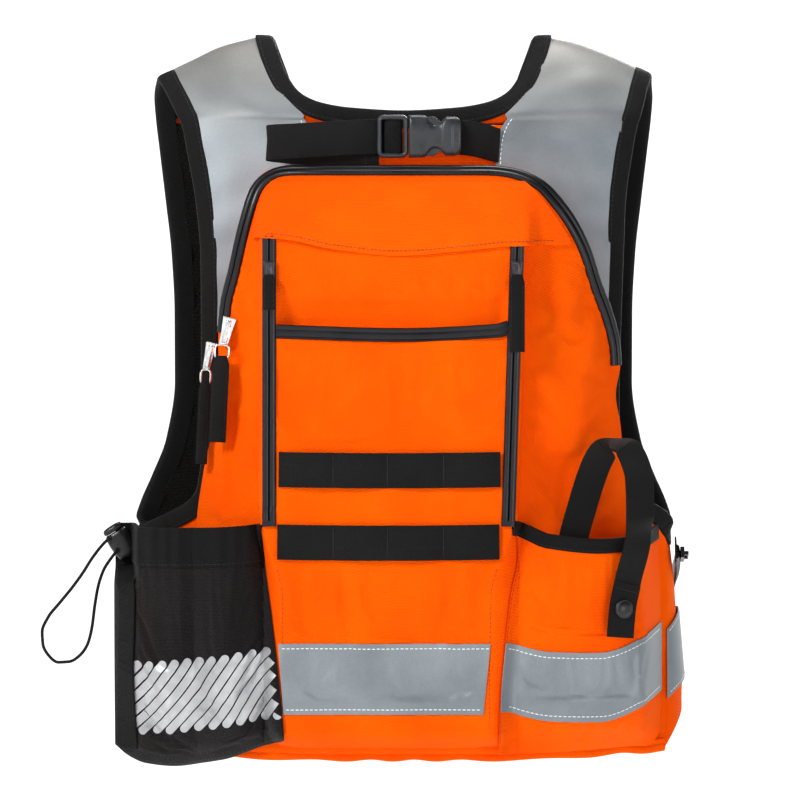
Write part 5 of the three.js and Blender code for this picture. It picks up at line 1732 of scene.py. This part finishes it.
def add_back_strap():
    section = flat_section(25, -1.7, 0, 0.5)
    right_web = [
        [38.5, BUCKLE_Y + 2.6, -74, 0, -1, 0], [46, BUCKLE_Y + 3.6, -74.8, 0, -1, 0],
        [54, BUCKLE_Y + 6.6, -76, -0.1, -1, 0.1], [62, BUCKLE_Y + 11.5, -78.3, -0.2, -1, 0.2],
        [69, BUCKLE_Y + 17.5, -80.3, -0.1, -1, 0.25],
    ]
    soft_web("back_strap_right_web", right_web, section, replaces=["back_strap_right"])
    tail = [
        [-16.5, BUCKLE_Y - 0.8, -73.5, 0, -1, 0], [-20.5, BUCKLE_Y - 2.2, -73.6, -0.2, -1, 0],
        [-26, BUCKLE_Y - 3.6, -73.8, -0.1, -1, 0], [-38, BUCKLE_Y - 4.4, -74.3, 0, -1, 0],
        [-60, BUCKLE_Y - 4.8, -75.6, 0, -1, 0], [-80, BUCKLE_Y - 4.6, -76.8, 0, -1, 0],
        [-92, BUCKLE_Y - 3.8, -77.4, -0.15, -1, 0], [-96.6, BUCKLE_Y - 2.4, -77.8, -0.8, -0.8, 0],
        [-97.6, BUCKLE_Y - 0.4, -78.2, -1, 0, 0], [-96.4, BUCKLE_Y + 1.6, -78.8, -0.8, 0.8, 0],
        [-91, BUCKLE_Y + 2.8, -79.6, 0, 1, 0], [-70, BUCKLE_Y + 3.0, -81.4, 0, 1, 0],
        [-45, BUCKLE_Y + 2.9, -82.6, 0, 1, 0], [-18, BUCKLE_Y + 2.4, -83.0, 0, 1, 0],
    ]
    soft_web("back_strap_tail_web", tail, section, replaces=["back_strap_tail"])
    hem = [
        [-34, BUCKLE_Y + 0.8, -82.8, 0, -1, 0], [-26, BUCKLE_Y + 0.5, -82.9, 0, -1, 0],
        [-17.4, BUCKLE_Y + 0.5, -83.0, 0, -1, 0],
    ]
    soft_web("back_strap_tail_hem", hem, flat_section(25, -1.4, 0.1, 0.5))
    anchor = [
        [-6, BUCKLE_Y + 2.2, -73.5, 0, -1, 0], [-14, BUCKLE_Y + 5.6, -74, 0, -1, 0],
        [-40, BUCKLE_Y + 8.4, -75.5, 0, -1, 0.1], [-72, BUCKLE_Y + 10.2, -78.5, -0.05, -1, 0.2],
    ]
    soft_web("back_strap_left_web", anchor, section)
    over_bar = [
        [-0.6, BUCKLE_Y + 3.5, -73.5, 1, 0, 0], [-1.6, BUCKLE_Y - 0.6, -73.5, 0.9, -0.5, 0],
        [-7.6, BUCKLE_Y - 2.4, -73.5, 0, -1, 0], [-13.8, BUCKLE_Y - 0.6, -73.5, -0.9, -0.5, 0],
        [-15, BUCKLE_Y + 3.5, -73.5, -1, 0, 0],
    ]
    soft_web("buckle_web_loop", over_bar, section, step=0.8)
    across = np.linspace(-11, 11, 16)[:, None] * np.array([0, 0, 1.0])
    seam = np.array([-27, BUCKLE_Y + 0.3, -82.8]) + across
    stitches(
        "back_strap_hem_stitches", seam, BACKWARD, BLACK_THREAD, "webbing", pitch=1.8, length=1.4
    )


# ---- Waist bands and hems ----

WAIST_TOP = (-433, -427)
BAND_RISE = 12  # how much higher the band is at the hip
TAPE_WIDTH = 50


def add_waist_band(name, side):
    def top(turn):
        return mix(*WAIST_TOP, turn) + BAND_RISE * np.sin(turn * math.pi)

    def bottom(turn):
        return top(turn) - TAPE_WIDTH

    turn, z = side_grid(0.04, 0.97, top, bottom, 48, 18)
    u, v = np.meshgrid(np.linspace(0, 1, 71), np.linspace(0, 1, 19))
    front_x, front_z = side * mix(SIDE_X - 2, 14, u), WAIST_TOP[1] - TAPE_WIDTH * v

    def whole(lift):
        wrapped = side_point(side, turn, z, lift)
        grid = np.concatenate([wrapped, lifted(front_y, front_x, front_z, lift, 1)], axis=1)
        relaxed(grid.swapaxes(0, 1), 6)
        return grid

    outer, inner = whole(2.1), whole(1.3)
    made = layer(
        f"waist_tape_{name}", outer, inner, TAPE, "reflective_tape",
        replaces=[f"waist_reflective_{name}"],
    )
    normals = unit(outer - inner)
    for label, row in (("upper", 1), ("lower", 17)):
        stitches(
            f"waist_stitches_{label}_{name}", outer[row, 2:-2], normals[row, 2:-2], WHITE_THREAD,
            "reflective_tape",
        )


def add_hems():
    """The turned lower edge of the back shell, one band with a groove along it."""
    x = np.linspace(-188, 188, 200)
    z = HEM_BACK + 2 + 0.7 * np.sin(x / 7 + 2 * np.sin(x / 31))
    base = np.where(np.abs(x - 7) < 157, pack_y(x, np.full_like(x, HEM_BACK + 2.0)) + 6.5, back_y(x, z))
    points = np.stack([x, relaxed(base, 12), z], -1)
    section = np.array([
        (-5, -2), (-5, 2.2), (-4.2, 3.2), (-1.6, 3.3), (-0.9, 2.7), (-0.2, 3.3), (3.2, 3.2),
        (4.6, 2.2), (5, 0), (4.6, -2),
    ])
    sweep("back_hem", points, BACKWARD, section, ORANGE, "orange_fabric")


# ---- Side zip and front zip ----


def add_side_zip():
    low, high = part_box("side_zip")
    middle = np.array((low + high) / 2) / MM
    out = (1.0, 0, 0)
    slant = math.radians(24)
    direction = np.array([0, math.cos(slant), -math.sin(slant)])
    share = np.linspace(-26, 26, 60)
    points = middle + share[:, None] * direction + np.array([-0.8, 0, 0])
    points[:, 0] -= 1.3 * (share / 26) ** 2
    section = zip_section(11) * np.array([1, 1.3])
    sweep("side_coated_zip", points, out, section, COATED, "coated_zip", replaces=["side_zip"])
    share = np.linspace(-30, 30, 40)
    points = middle + share[:, None] * direction + np.array([-1.4, 0, 0])
    points[:, 0] -= 1.5 * (share / 30) ** 2
    sweep("side_zip_facing", points, out, flat_section(20, 0, 1.1, 0.4), COATED, "coated_zip")
    moulded("side_zip_slider", DARK_METAL, 0.28, 3)


def add_front_zip():
    y, top, bottom = 91.5, -184, -494
    z = np.linspace(top, bottom, 120)
    for name, side in (("left", -1), ("right", 1)):
        x = np.full_like(z, side * 4.4)
        points = np.stack([x, front_y(x, z) - 3.5, z], -1)
        points[:, 1] = np.minimum(points[:, 1], y + 1.0)
        replaced = ["front_zip"] if side < 0 else []
        section = flat_section(7.4, -0.6, 0.4, 0.3)
        sweep(
            f"front_zip_tape_{name}", points, (0, 1.0, 0), section, GROSGRAIN, "coated_zip",
            replaces=replaced,
        )
    pitch = 3.0
    rows = np.arange(top - 22, bottom + 2, -pitch / 2)
    cube = np.array([(a, b, c) for a in (-1, 1) for b in (-1, 1) for c in (-1, 1)], float)
    box_faces = [(0, 1, 3, 2), (4, 6, 7, 5), (0, 4, 5, 1), (2, 3, 7, 6), (0, 2, 6, 4), (1, 5, 7, 3)]
    points, faces = [], []
    for number, level in enumerate(rows):
        side = 1 if number % 2 else -1
        taper = np.where(cube[:, 1:2] > 0, 0.8, 1.0)
        tooth = cube * np.array([1.9, 1.1, 0.62]) * taper + np.array([side * 0.7, y + 1.3, level])
        points.append(tooth)
        faces += [[8 * number + v for v in face] for face in box_faces]
    piece("front_zip_teeth", np.array(points), faces, BLACK_PLASTIC, "vest", "coated_zip")
    moulded("front_zip_slider", DARK_METAL, 0.3, 3)


# ---- Stage ----


FLOOR_Z = -1.5
FLOOR_REACH = 8.3
BACKDROP_BAND = (0.13, 0.3)  # sines of the heights between which the bright backdrop ends
CEILING_LIGHT = 0.16
LAMPS = (
    ("key", (-2.1, -2.4, 1.6), 0.9, 104, (1.0, 0.985, 0.96)),
    ("fill", (2.0, -3.0, -0.2), 1.4, 24, (0.97, 0.98, 1.0)),
    ("top", (0.3, 0.4, 2.4), 1.2, 40, (1.0, 1.0, 1.0)),
    ("back", (0.9, 2.7, 0.8), 1.6, 46, (1.0, 1.0, 1.0)),
)


def add_world():
    """A white backdrop all round at eye height and a dimmer ceiling."""
    world = bpy.data.worlds.new("studio")
    bpy.context.scene.world = world
    world.use_nodes = True
    nodes, links = world.node_tree.nodes, world.node_tree.links
    sky = nodes["Background"]
    where = nodes.new("ShaderNodeTexCoord")
    axes = nodes.new("ShaderNodeSeparateXYZ")
    links.new(where.outputs["Generated"], axes.inputs[0])
    height = nodes.new("ShaderNodeMath")
    height.operation = "ABSOLUTE"
    links.new(axes.outputs["Z"], height.inputs[0])
    fade = nodes.new("ShaderNodeMapRange")
    links.new(height.outputs[0], fade.inputs["Value"])
    low, high = BACKDROP_BAND
    for key, amount in (("From Min", low), ("From Max", high), ("To Min", 1.03), ("To Max", CEILING_LIGHT)):
        fade.inputs[key].default_value = amount
    links.new(fade.outputs["Result"], sky.inputs["Strength"])
    sky.inputs["Color"].default_value = (1.0, 1.0, 1.0, 1)


def add_stage():
    mesh = bpy.data.meshes.new("floor")
    turns = np.linspace(0, 2 * math.pi, 64, endpoint=False)
    rim = [(FLOOR_REACH * math.cos(a), FLOOR_REACH * math.sin(a), FLOOR_Z) for a in turns]
    mesh.from_pydata(rim, [], [list(range(64))])
    floor = bpy.data.objects.new("floor", mesh)
    bpy.context.scene.collection.objects.link(floor)
    paint = Paint("pale_floor", Roughness=0.9, Specular_IOR_Level=0.1)
    paint.shader.inputs["Base Color"].default_value = (0.92, 0.92, 0.92, 1)
    paint.shader.inputs["Emission Color"].default_value = (1.0, 1.0, 1.0, 1)
    paint.shader.inputs["Emission Strength"].default_value = 0.4
    mesh.materials.append(paint.material)
    for name, place, size, energy, colour in LAMPS:
        data = bpy.data.lights.new(name, "AREA")
        data.size, data.energy, data.color = size, energy, colour
        light = bpy.data.objects.new(name, data)
        light.location = place
        aim = Vector((0, 0, -0.26)) - light.location
        light.rotation_euler = aim.to_track_quat("-Z", "Y").to_euler()
        bpy.context.scene.collection.objects.link(light)
    view = bpy.context.scene.view_settings
    view.view_transform = "Standard"
    view.look = "Medium High Contrast"


add_back_panel()
for side_name, side_sign in (("left", -1), ("right", 1)):
    add_front_panel(side_name, side_sign)
    add_side_panel(side_name, side_sign)
    add_yoke(side_name, side_sign)
    add_shoulder_tape(side_name, side_sign)
    add_armhole_binding(side_name, side_sign)
    add_waist_band(side_name, side_sign)
add_neck_binding()
add_pack()
add_storm_flap()
add_centre_pocket()
add_centre_zips()
add_mouth_band()
add_load_row("load_web_upper", "pals_row_upper", -88.8, 69, -309.5)
add_load_row("load_web_lower", "pals_row_lower", -89.8, 68.2, -361)
add_centre_tape()
add_sliders()
add_right_pocket()
add_right_tape()
add_snap_strap()
add_snap()
add_mesh_pocket()
add_slashes()
add_cord_lock()
add_buckle()
add_back_strap()
add_hems()
add_side_zip()
add_front_zip()
add_world()
add_stage()
